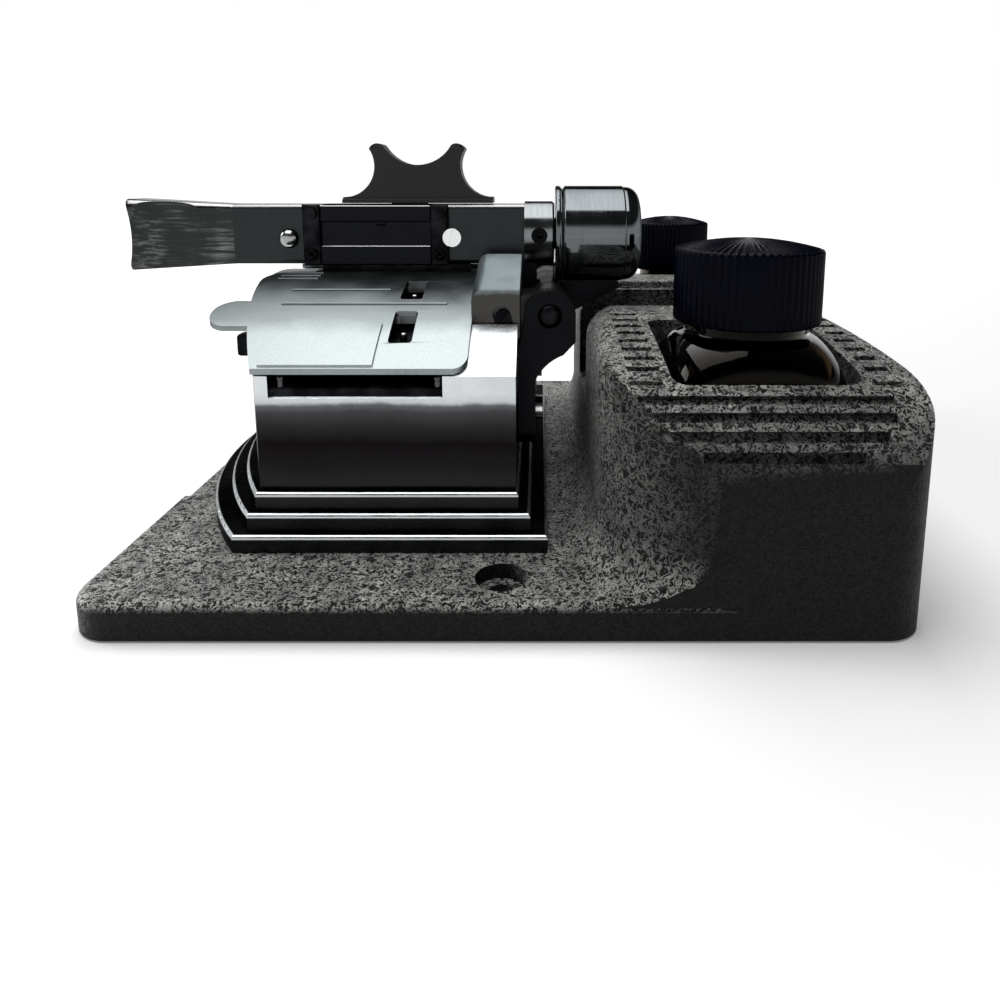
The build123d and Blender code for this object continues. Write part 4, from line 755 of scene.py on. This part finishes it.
@dataclass
class SubAssembly:
    """A group of pieces that are dressed together."""

    finishes: dict[str, Finish] = field(default_factory=dict)
    bevels: dict[str, float] = field(default_factory=dict)

    weld_distance: ClassVar[float] = 1e-6
    ease_segments: ClassVar[int] = 2
    sharp_angle: ClassVar[float] = 35.0
    flat_weight: ClassVar[int] = 50
    block_segments: ClassVar[int] = 3
    stud_turns: ClassVar[int] = 28
    # Of a screw head: the share of its radius and of its reach at each ring, and at its hollow.
    stud_rings: ClassVar[Stops] = ((1.0, 0.0), (1.0, 0.45), (0.93, 0.72), (0.75, 0.90), (0.42, 0.98))
    stud_hollow: ClassVar[float] = 0.4

    def build(self) -> None:
        """Builds the meshes that the frame doesn't hold."""

    def dress(self) -> None:
        """Gives each CAD node its finish, and eases the edges of those listed in bevels."""
        for name, finish in self.finishes.items():
            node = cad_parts[name]
            if not node.material_slots:
                node.data.materials.append(finish.material())
            for slot in node.material_slots:
                slot.link = "OBJECT"
                slot.material = finish.material()
            if name in self.bevels:
                self.ease(node, self.bevels[name])
            LOG.info("%s: %s", name, finish.name)

    def ease(self, node: bpy.types.Object, width: float) -> None:
        """Rounds the sharp edges of a node with modifiers, and keeps its large faces flat.

        Args:
            node: the CAD node.
            width: the width of the rounding, in metres.
        """
        weld = node.modifiers.new("join faces", "WELD")
        weld.merge_threshold = self.weld_distance
        bevel = node.modifiers.new("eased edges", "BEVEL")
        bevel.width = width
        bevel.segments = self.ease_segments
        bevel.limit_method = "ANGLE"
        bevel.angle_limit = math.radians(self.sharp_angle)
        bevel.harden_normals = True
        bevel.use_clamp_overlap = True
        flat = node.modifiers.new("flat faces", "WEIGHTED_NORMAL")
        flat.mode = "FACE_AREA"
        flat.weight = self.flat_weight
        flat.keep_sharp = False

    def block(self, mesh: Mesh, low: Point, high: Point, ease: float) -> None:
        """Adds a block with eased edges to a mesh.

        Args:
            mesh: the mesh to add to.
            low: its lowest corner, in metres.
            high: its highest corner.
            ease: the radius of its edges.
        """
        corners = [mesh.verts.new(place) for place in itertools.product(*zip(low, high))]
        sides = ((0, 1, 3, 2), (4, 6, 7, 5), (0, 4, 5, 1), (2, 3, 7, 6), (0, 2, 6, 4), (1, 5, 7, 3))
        faces = [mesh.faces.new([corners[index] for index in side]) for side in sides]
        self.round_edges(mesh, faces, ease)

    def round_edges(self, mesh: Mesh, faces: Faces, ease: float) -> None:
        """Rounds all the edges of some faces.

        Args:
            mesh: the mesh that they belong to.
            faces: the faces.
            ease: the radius, in metres.
        """
        edges = list({edge for face in faces for edge in face.edges})
        bmesh.ops.bevel(
            mesh, geom=edges, offset=ease, segments=self.block_segments, profile=0.5, affect="EDGES"
        )

    @staticmethod
    def skin(mesh: Mesh, rings: list[Ring]) -> Faces:
        """Joins closed rings of equal count with quads.

        Args:
            mesh: the mesh to add to.
            rings: the vertices of each ring, in the same order round.

        Returns:
            The new faces.
        """
        faces = []
        for lower, upper in zip(rings[:-1], rings[1:]):
            for index in range(len(lower)):
                after = (index + 1) % len(lower)
                faces.append(mesh.faces.new((lower[index], lower[after], upper[after], upper[index])))
        return faces

    @staticmethod
    def fan(mesh: Mesh, ring: Ring, hub: Point) -> None:
        """Closes a ring with triangles to a new point.

        Args:
            mesh: the mesh to add to.
            ring: the ring's vertices in order.
            hub: the new point, in metres.
        """
        middle = mesh.verts.new(hub)
        for index in range(len(ring)):
            mesh.faces.new((ring[index], ring[(index + 1) % len(ring)], middle))

    @staticmethod
    def smooth(piece: bpy.types.Object) -> None:
        """Shades a piece smooth all over."""
        for face in piece.data.polygons:
            face.use_smooth = True

    def stud(self, mesh: Mesh, centre: Point, radius: float, reach: float) -> None:
        """Adds a domed screw head that looks to the front, hollow in its middle.

        Args:
            mesh: the mesh to add to.
            centre: the middle of its foot, in metres.
            radius: its radius.
            reach: how far it stands forward.
        """
        across, foot, up = centre
        rings = []
        for share, rise in self.stud_rings:
            ring = []
            for index in range(self.stud_turns):
                angle = 2 * math.pi * index / self.stud_turns
                aside, above = radius * share * math.cos(angle), radius * share * math.sin(angle)
                ring.append(mesh.verts.new((across + aside, foot - reach * rise, up + above)))
            rings.append(ring)
        self.skin(mesh, rings)
        mesh.faces.new(rings[0])
        self.fan(mesh, rings[-1], (across, foot - self.stud_hollow * reach, up))

    @staticmethod
    def piece(name: str, mesh: Mesh, finish: Finish, body: str, slot: str, *nodes: str) -> bpy.types.Object:
        """Turns a mesh into a piece that rides on a body.

        Args:
            name: the piece's name.
            mesh: its geometry, in metres.
            finish: its finish.
            body: the body it moves with.
            slot: the record's material slot; it is not used.
            nodes: the CAD nodes that it stands for.

        Returns:
            The new object.
        """
        bmesh.ops.recalc_face_normals(mesh, faces=mesh.faces)
        data = bpy.data.meshes.new(name)
        mesh.to_mesh(data)
        mesh.free()
        made = bpy.data.objects.new(name, data)
        bpy.context.scene.collection.objects.link(made)
        made.data.materials.append(finish.material())
        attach(made, body)
        if nodes:
            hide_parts(*nodes)
        LOG.info("%s: %d faces, rides on %s", name, len(data.polygons), body)
        return made


@dataclass
class BaseCasting(SubAssembly):
    """The cast base with its wrinkle enamel, feet and screws."""

    rim_left: float = 0.034
    rim_right: float = 0.079
    rim_section: Stops = (
        (0.0137, 0.0469),
        (0.0170, 0.0499),
        (0.0170, 0.0517),
        (0.0278, 0.0522),
        (0.0278, 0.0469),
    )
    rim_ease: float = 0.0006

    def __post_init__(self) -> None:
        """Lists the finishes."""
        self.finishes = {"base_casting": ENAMEL, "rubber_feet": RUBBER, "body_screws": POLISHED}
        self.bevels = {"base_casting": 0.0005}

    def build(self) -> None:
        """Builds the raised rim between the well of the knob and the rear pocket."""
        mesh = bmesh.new()
        sides = (self.rim_left, self.rim_right)
        ends = [[mesh.verts.new((x, y, z)) for y, z in self.rim_section] for x in sides]
        faces = [mesh.faces.new(end) for end in ends] + self.skin(mesh, ends)
        self.round_edges(mesh, faces, self.rim_ease)
        self.smooth(self.piece("rear_pocket_rim", mesh, ENAMEL, "base", "base_enamel"))


@dataclass
class SplicerBody(SubAssembly):
    """The plated body with its film bed, pins, anvil and hinge."""

    catch_x: Span = (-0.0479, -0.0425)
    catch_y: float = 0.035
    catch_z: Span = (0.0426, 0.0474)
    catch_width: float = 0.004
    catch_ease: float = 0.0007

    def __post_init__(self) -> None:
        """Lists the finishes."""
        self.finishes = {
            "splicer_body": PLATE,
            "front_film_bed": BLACK,
            "rear_film_bed": BLACK,
            "film_pins": PIN_STEEL,
            "film_guides": PIN_STEEL,
            "cutter_anvil": HINGE_STEEL,
            "fixed_cutter_blade": GROUND,
            "hinge_bracket": HINGE_STEEL,
            "bracket_screws": POLISHED,
            "hinge_pin": BLACK,
        }
        self.bevels = {"splicer_body": 0.0007, "hinge_bracket": 0.0005}

    def build(self) -> None:
        """Builds the catches on the left wall that the clamps shut against."""
        mesh = bmesh.new()
        half = self.catch_width / 2
        (left, right), (low, high) = self.catch_x, self.catch_z
        for side in (-self.catch_y, self.catch_y):
            self.block(mesh, (left, side - half, low), (right, side + half, high), self.catch_ease)
        self.piece("clamp_catches", mesh, HINGE_STEEL, "base", "hinge_dark")


@dataclass
class Clamp(SubAssembly):
    """One film clamp: its sheet, presser, knuckle and screw."""

    end: str = "front"

    def __post_init__(self) -> None:
        """Lists the finishes."""
        self.finishes = {
            f"{self.end}_clamp_plate": CLAMP_STEEL,
            f"{self.end}_film_presser": PRESSER_STEEL,
            f"{self.end}_clamp_knuckle": KNUCKLE_METAL,
            f"{self.end}_clamp_screw": BLACK,
        }
        self.bevels = {f"{self.end}_clamp_knuckle": 0.0006, f"{self.end}_clamp_plate": 0.0002}


@dataclass
class Arm(SubAssembly):
    """The cutting and scraping arm with its knob."""

    cover_x: Span = (-0.03774, -0.01006)
    cover_front: float = -0.0050
    # Of each rail: its lower edge, its upper edge and its thickness.
    rails: tuple[Point, ...] = ((0.0589, 0.0638, 0.0016), (0.0697, 0.0738, 0.0014))
    rail_ease: float = 0.00035
    channel_depth: float = 0.0005
    channel_lap: float = 0.0004
    channel_ease: float = 0.0001
    lug_x: float = -0.0226
    lug_half: float = 0.0012
    lug_hang: float = 0.0010
    lug_ease: float = 0.0005
    block_front: float = -0.0068
    screw_x: Span = (-0.0399, -0.0079)
    screw_z: float = 0.0616
    screw_radius: float = 0.0015
    screw_reach: float = 0.0009

    def __post_init__(self) -> None:
        """Lists the finishes."""
        self.finishes = {
            "arm_frame": ARM_STEEL,
            "arm_handle": HANDLE_STEEL,
            "arm_spindle": BLACK,
            "arm_collar": COLLAR_METAL,
            "collar_screw": BLACK,
            "arm_casting": HINGE_STEEL,
            "guide_rods": POLISHED,
            "arm_end_blocks": BLACK,
            "end_block_screws": BLACK,
            "handle_pin": SCREW_STEEL,
            "arm_screw": POLISHED,
            "moving_cutter_blade": BLACK,
            "knob_barrel": TURNED,
            "knob_cap": TURNED,
            "knob_spring": POLISHED,
            "scraper_carriage": BLACK,
            "scraper_blade": GROUND,
            "scraper_grip": GRIP_BLACK,
        }
        self.bevels = {
            "arm_frame": 0.0004,
            "arm_handle": 0.0004,
            "arm_casting": 0.0004,
            "knob_barrel": 0.0004,
            "scraper_grip": 0.0005,
            "arm_end_blocks": 0.0002,
        }

    def build(self) -> None:
        """Builds the slide cover and the lower screws of the end blocks."""
        self.build_cover()
        self.build_screws()

    def build_cover(self) -> None:
        """Builds the slide cover: two rails, the channel between them and the stop lug in it."""
        left, right = self.cover_x
        front = self.cover_front
        low_rail, high_rail = self.rails
        mesh = bmesh.new()
        for low, high, thick in self.rails:
            self.block(mesh, (left, front - thick, low), (right, front, high), self.rail_ease)
        self.block(
            mesh,
            (left, front - self.channel_depth, low_rail[1] - self.channel_lap),
            (right, front, high_rail[0] + self.channel_lap),
            self.channel_ease,
        )
        self.block(
            mesh,
            (self.lug_x - self.lug_half, front - self.lug_half, high_rail[0] - self.lug_hang),
            (self.lug_x + self.lug_half, front, high_rail[0] + self.lug_ease),
            self.lug_ease,
        )
        self.piece("slide_cover_rails", mesh, RAIL_STEEL, "arm", "arm_black", "slide_cover")

    def build_screws(self) -> None:
        """Builds the two lower screws of the end blocks."""
        mesh = bmesh.new()
        for place in self.screw_x:
            self.stud(mesh, (place, self.block_front, self.screw_z), self.screw_radius, self.screw_reach)
        self.piece("lower_end_screws", mesh, BLACK, "arm", "arm_black")


@dataclass
class Bottle(SubAssembly):
    """One bottle with its cement, fluted cap, liner and brush."""

    end: str = "front"
    centre: Span = (0.0586, -0.0455)
    cap_radius: float = 0.0144
    bore_radius: float = 0.0122
    neck_radius: float = 0.0119
    cap_foot: float = 0.0524
    cap_rim: float = 0.0667
    cap_top: float = 0.0688
    cap_roof: float = 0.0612
    # Of each ring of the dome: the share of the cap's radius.
    dome_rings: tuple[float, ...] = (0.93, 0.8, 0.62, 0.42, 0.2)
    flutes: int = 60
    flute_depth: float = 0.00045
    flute_points: int = 4
    flute_on_dome: float = 0.85
    flute_drop: float = 0.6
    half_width: float = 0.0167
    wall: float = 0.0022
    bottom: float = 0.0090
    shoulder: float = 0.0420
    neck_foot: float = 0.0500
    lip: float = 0.0600
    lip_round: float = 0.0006
    # Of the rounded foot: how far in and how far up each ring is.
    foot_rings: Stops = ((0.0012, 0.0), (0.0003, 0.0005), (0.0, 0.0014))
    shoulder_start: float = 0.004
    shoulder_bends: int = 9
    shoulder_rounding: float = 0.7
    neck_length: float = 0.0008
    fill: float = 0.0410
    fill_gap: float = 0.0001
    squareness: float = 6.0
    roundness: float = 2.0
    turns: int = 96

    def __post_init__(self) -> None:
        """Lists the finishes."""
        self.finishes = {f"{self.end}_cap_liner": CARD, f"{self.end}_cap_brush": BRISTLE}

    def build(self) -> None:
        """Builds the cap, the glass and the cement."""
        self.build_cap()
        self.build_glass()
        self.build_cement()

    def cap_profile(self) -> list[Point]:
        """The cap's rings: radius, height and the share of the flute's depth, from inside to the dome."""
        rim, foot, radius = self.cap_rim, self.cap_foot, self.cap_radius
        rings = [
            (self.bore_radius, self.cap_roof, 0.0),
            (self.bore_radius, foot, 0.0),
            (radius - 0.0003, foot, 0.6),
            (radius, foot + 0.0004, 1.0),
            (radius, rim - 0.0005, 1.0),
            (radius - 0.0002, rim, 1.0),
        ]
        dome = self.cap_top - rim
        for share in self.dome_rings:
            rings.append((radius * share, rim + dome * (1 - share**2), self.flute_on_dome * share))
        return rings

    def cap_ring(self, mesh: Mesh, radius: float, height: float, depth: float) -> Ring:
        """Adds one fluted ring of the cap.

        Args:
            mesh: the mesh to add to.
            radius: the radius on the ribs, in metres.
            height: its height.
            depth: the share of the flute's depth.

        Returns:
            The new vertices in order.
        """
        count = self.flutes * self.flute_points
        made = []
        for index in range(count):
            angle = 2 * math.pi * index / count
            wave = 0.5 - 0.5 * math.cos(2 * math.pi * index / self.flute_points)
            reach = radius - self.flute_depth * depth * wave
            drop = 0.0 if height <= self.cap_rim else self.flute_depth * self.flute_drop * depth * wave
            across, along = reach * math.cos(angle), reach * math.sin(angle)
            made.append(mesh.verts.new((self.centre[0] + across, self.centre[1] + along, height - drop)))
        return made

    def build_cap(self) -> None:
        """Turns the fluted cap: a straight skirt and a low dome whose flutes fade to its middle."""
        mesh = bmesh.new()
        rings = [self.cap_ring(mesh, *stop) for stop in self.cap_profile()]
        self.skin(mesh, rings)
        self.fan(mesh, rings[0], (*self.centre, self.cap_roof))
        self.fan(mesh, rings[-1], (*self.centre, self.cap_top))
        names = f"{self.end}_fluted_cap", f"{self.end}_cap", f"{self.end}_bottle_cap"
        cap = self.piece(names[0], mesh, CAP_BLACK, names[1], "cap_black", names[2])
        for face in cap.data.polygons:
            face.use_smooth = face.center.z > self.cap_rim or abs(face.normal.z) < 0.5

    def ring(self, mesh: Mesh, half: float, height: float, power: float) -> Ring:
        """Adds one closed outline between a circle and a square.

        Args:
            mesh: the mesh to add to.
            half: half the width, in metres.
            height: its height.
            power: 2 for a circle, more for a squarer outline.

        Returns:
            The new vertices in order.
        """
        made = []
        for index in range(self.turns):
            angle = 2 * math.pi * (index + 0.5) / self.turns
            across, along = math.cos(angle), math.sin(angle)
            reach = half / (abs(across) ** power + abs(along) ** power) ** (1 / power)
            place = (self.centre[0] + reach * across, self.centre[1] + reach * along, height)
            made.append(mesh.verts.new(place))
        return made

    def outline(self, inset: float) -> list[Point]:
        """The wall of the bottle from its foot to its neck.

        Args:
            inset: how far inside the outer surface, in metres.

        Returns:
            Half width, height and squareness of each ring, from below.
        """
        foot = self.bottom + inset
        half = self.half_width - inset
        neck = self.neck_radius - inset
        stops = [(half - back, foot + up, self.squareness) for back, up in self.foot_rings]
        stops.append((half, self.shoulder - self.shoulder_start, self.squareness))
        for step in range(self.shoulder_bends + 1):
            angle = math.pi / 2 * step / self.shoulder_bends
            change = (self.roundness - self.squareness) * math.sin(angle) ** self.shoulder_rounding
            power = self.squareness + change
            rise = (self.neck_foot - inset * 0.6 - self.shoulder) * math.sin(angle)
            stops.append((neck + (half - neck) * math.cos(angle), self.shoulder + rise, power))
        stops.append((neck, self.neck_foot + self.neck_length, self.roundness))
        return stops

    def build_glass(self) -> None:
        """Blows the bottle: a squared body, a round shoulder and a neck, with an even wall."""
        mesh = bmesh.new()
        outer = [self.ring(mesh, *stop) for stop in self.outline(0.0)]
        inner = [self.ring(mesh, *stop) for stop in self.outline(self.wall)]
        under = self.lip - self.lip_round
        inner_round = self.wall - self.lip_round
        edge = ((0.0, under), (self.lip_round, self.lip), (inner_round, self.lip), (self.wall, under))
        lips = [self.ring(mesh, self.neck_radius - inset, height, self.roundness) for inset, height in edge]
        rings = outer + lips + inner[::-1]
        self.skin(mesh, rings)
        mesh.faces.new(rings[0])
        mesh.faces.new(rings[-1])
        names = f"{self.end}_blown_bottle", f"{self.end}_bottle_body", f"{self.end}_bottle"
        self.smooth(self.piece(names[0], mesh, GLASS, names[1], "bottle_glass", names[2]))

    def build_cement(self) -> None:
        """Fills the bottle with dark cement, a hair inside the glass."""
        mesh = bmesh.new()
        inside = [stop for stop in self.outline(self.wall + self.fill_gap) if stop[1] < self.fill]
        inside.append((inside[-1][0], self.fill, self.squareness))
        rings = [self.ring(mesh, *stop) for stop in inside]
        self.skin(mesh, rings)
        mesh.faces.new(rings[0])
        mesh.faces.new(rings[-1])
        self.piece(f"{self.end}_cement", mesh, CEMENT, f"{self.end}_bottle_body", "bottle_glass")


@dataclass(frozen=True)
class Lamp:
    """A soft rectangular lamp that faces a point."""

    name: str
    place: Point
    aim: Point
    size: Span
    power: float

    def hang(self) -> None:
        """Adds the lamp to the scene."""
        data = bpy.data.lights.new(self.name, "AREA")
        data.shape = "RECTANGLE"
        data.size, data.size_y = self.size
        data.energy = self.power
        made = bpy.data.objects.new(self.name, data)
        made.location = self.place
        made.rotation_euler = (Vector(self.aim) - Vector(self.place)).to_track_quat("-Z", "Y").to_euler()
        bpy.context.scene.collection.objects.link(made)


@dataclass(frozen=True)
class Viewpoint:
    """The camera, at the photograph's viewing angle."""

    lens: float = 26.64
    sensor: float = 36.0
    shift: Span = (-0.040, -0.196)
    nearest: float = 0.01
    place: Point = (0.01725, -0.192, 0.080)
    tilt: float = 80.5

    def take(self) -> None:
        """Adds the camera to the scene and looks through it."""
        data = bpy.data.cameras.new("camera")
        data.lens = self.lens
        data.sensor_width = self.sensor
        data.shift_x, data.shift_y = self.shift
        data.clip_start = self.nearest
        made = bpy.data.objects.new("camera", data)
        made.location = self.place
        made.rotation_euler = (math.radians(self.tilt), 0.0, 0.0)
        bpy.context.scene.collection.objects.link(made)
        bpy.context.scene.camera = made


@dataclass
class Studio:
    """The floor, world, lamps and camera."""

    floor_size: float = 6.0
    floor_colour: Colour = (0.86, 0.86, 0.86)
    horizon: float = 1.0
    zenith: float = 0.05
    fade: Span = (0.26, 0.42)
    ambient: float = 0.12
    near_glow: float = 0.13
    glow_near: float = 0.2
    glow_far: float = 1.1
    lamps: tuple[Lamp, ...] = (
        Lamp("overhead lamp", (-0.13, 0.13, 0.70), (-0.13, 0.13, 0.0), (0.56, 1.0), 6.6),
        Lamp("left lamp", (-0.75, 0.10, 0.50), (0.0, 0.0, 0.03), (0.4, 0.3), 2.6),
    )
    viewpoint: Viewpoint = Viewpoint()

    def build(self) -> None:
        """Sets up the whole studio."""
        self.floor()
        self.world()
        for lamp in self.lamps:
            lamp.hang()
        self.viewpoint.take()
        bpy.context.scene.view_settings.view_transform = "Standard"

    def floor(self) -> None:
        """Lays the pale floor."""
        mesh = bmesh.new()
        bmesh.ops.create_grid(mesh, x_segments=8, y_segments=8, size=self.floor_size)
        data = bpy.data.meshes.new("floor")
        mesh.to_mesh(data)
        mesh.free()
        made = bpy.data.objects.new("floor", data)
        bpy.context.scene.collection.objects.link(made)
        g = Graph("pale floor")
        g.shade(Base_Color=(*self.floor_colour, 1), Roughness=0.9, Emission_Color=(1, 1, 1, 1))
        away = g.node("ShaderNodeVectorMath", operation="LENGTH")
        g.join(g.place, "Object", away, 0)
        grown = g.span(away, "Value", self.glow_near, self.glow_far, self.near_glow, 1.0)
        glow = g.node("ShaderNodeMath", operation="MULTIPLY")
        g.join(grown, 0, glow, 1)
        g.tree.links.new(self.seen_rays(g.tree), glow.inputs[0])
        g.join(glow, 0, g.shader, "Emission Strength")
        made.data.materials.append(g.material)

    @staticmethod
    def seen_rays(tree: bpy.types.NodeTree) -> bpy.types.NodeSocket:
        """Tells the rays that show the background from those that only light the scene.

        Args:
            tree: the node tree to add to.

        Returns:
            The socket that is 1 for camera, glossy and transmission rays, and 0 for the others.
        """
        path = tree.nodes.new("ShaderNodeLightPath")
        either = tree.nodes.new("ShaderNodeMath")
        either.operation = "MAXIMUM"
        tree.links.new(path.outputs["Is Camera Ray"], either.inputs[0])
        tree.links.new(path.outputs["Is Glossy Ray"], either.inputs[1])
        any_of = tree.nodes.new("ShaderNodeMath")
        any_of.operation = "MAXIMUM"
        tree.links.new(either.outputs[0], any_of.inputs[0])
        tree.links.new(path.outputs["Is Transmission Ray"], any_of.inputs[1])
        return any_of.outputs[0]

    def world(self) -> None:
        """Makes the sky: pale at the horizon and dimmer overhead, with less light than it shows."""
        world = bpy.data.worlds.new("studio")
        bpy.context.scene.world = world
        world.use_nodes = True
        tree = world.node_tree
        back = tree.nodes["Background"]
        place = tree.nodes.new("ShaderNodeTexCoord")
        apart = tree.nodes.new("ShaderNodeSeparateXYZ")
        tree.links.new(place.outputs["Generated"], apart.inputs[0])
        fade = tree.nodes.new("ShaderNodeMapRange")
        back.inputs["Color"].default_value = (1, 1, 1, 1)
        fade.inputs["From Min"].default_value, fade.inputs["From Max"].default_value = self.fade
        fade.inputs["To Min"].default_value = self.horizon
        fade.inputs["To Max"].default_value = self.zenith
        tree.links.new(apart.outputs["Z"], fade.inputs["Value"])
        lit = tree.nodes.new("ShaderNodeMix")
        lit.data_type = "FLOAT"
        lit.inputs[2].default_value = self.ambient
        tree.links.new(self.seen_rays(tree), lit.inputs[0])
        tree.links.new(fade.outputs[0], lit.inputs[3])
        tree.links.new(lit.outputs[0], back.inputs["Strength"])


def main() -> None:
    """Builds the studio and the sub-assemblies in order."""
    logging.basicConfig(level=logging.INFO, format="%(message)s")
    Studio().build()
    assemblies: list[SubAssembly] = [
        BaseCasting(),
        SplicerBody(),
        Clamp(end="front"),
        Clamp(end="rear"),
        Arm(),
        Bottle(end="front"),
        Bottle(
            end="rear",
            centre=(0.0586, 0.0455),
            cap_radius=0.0120,
            bore_radius=0.0094,
            neck_radius=0.0091,
        ),
    ]
    for assembly in assemblies:
        assembly.build()
        assembly.dress()


if __name__ == "__main__":
    main()
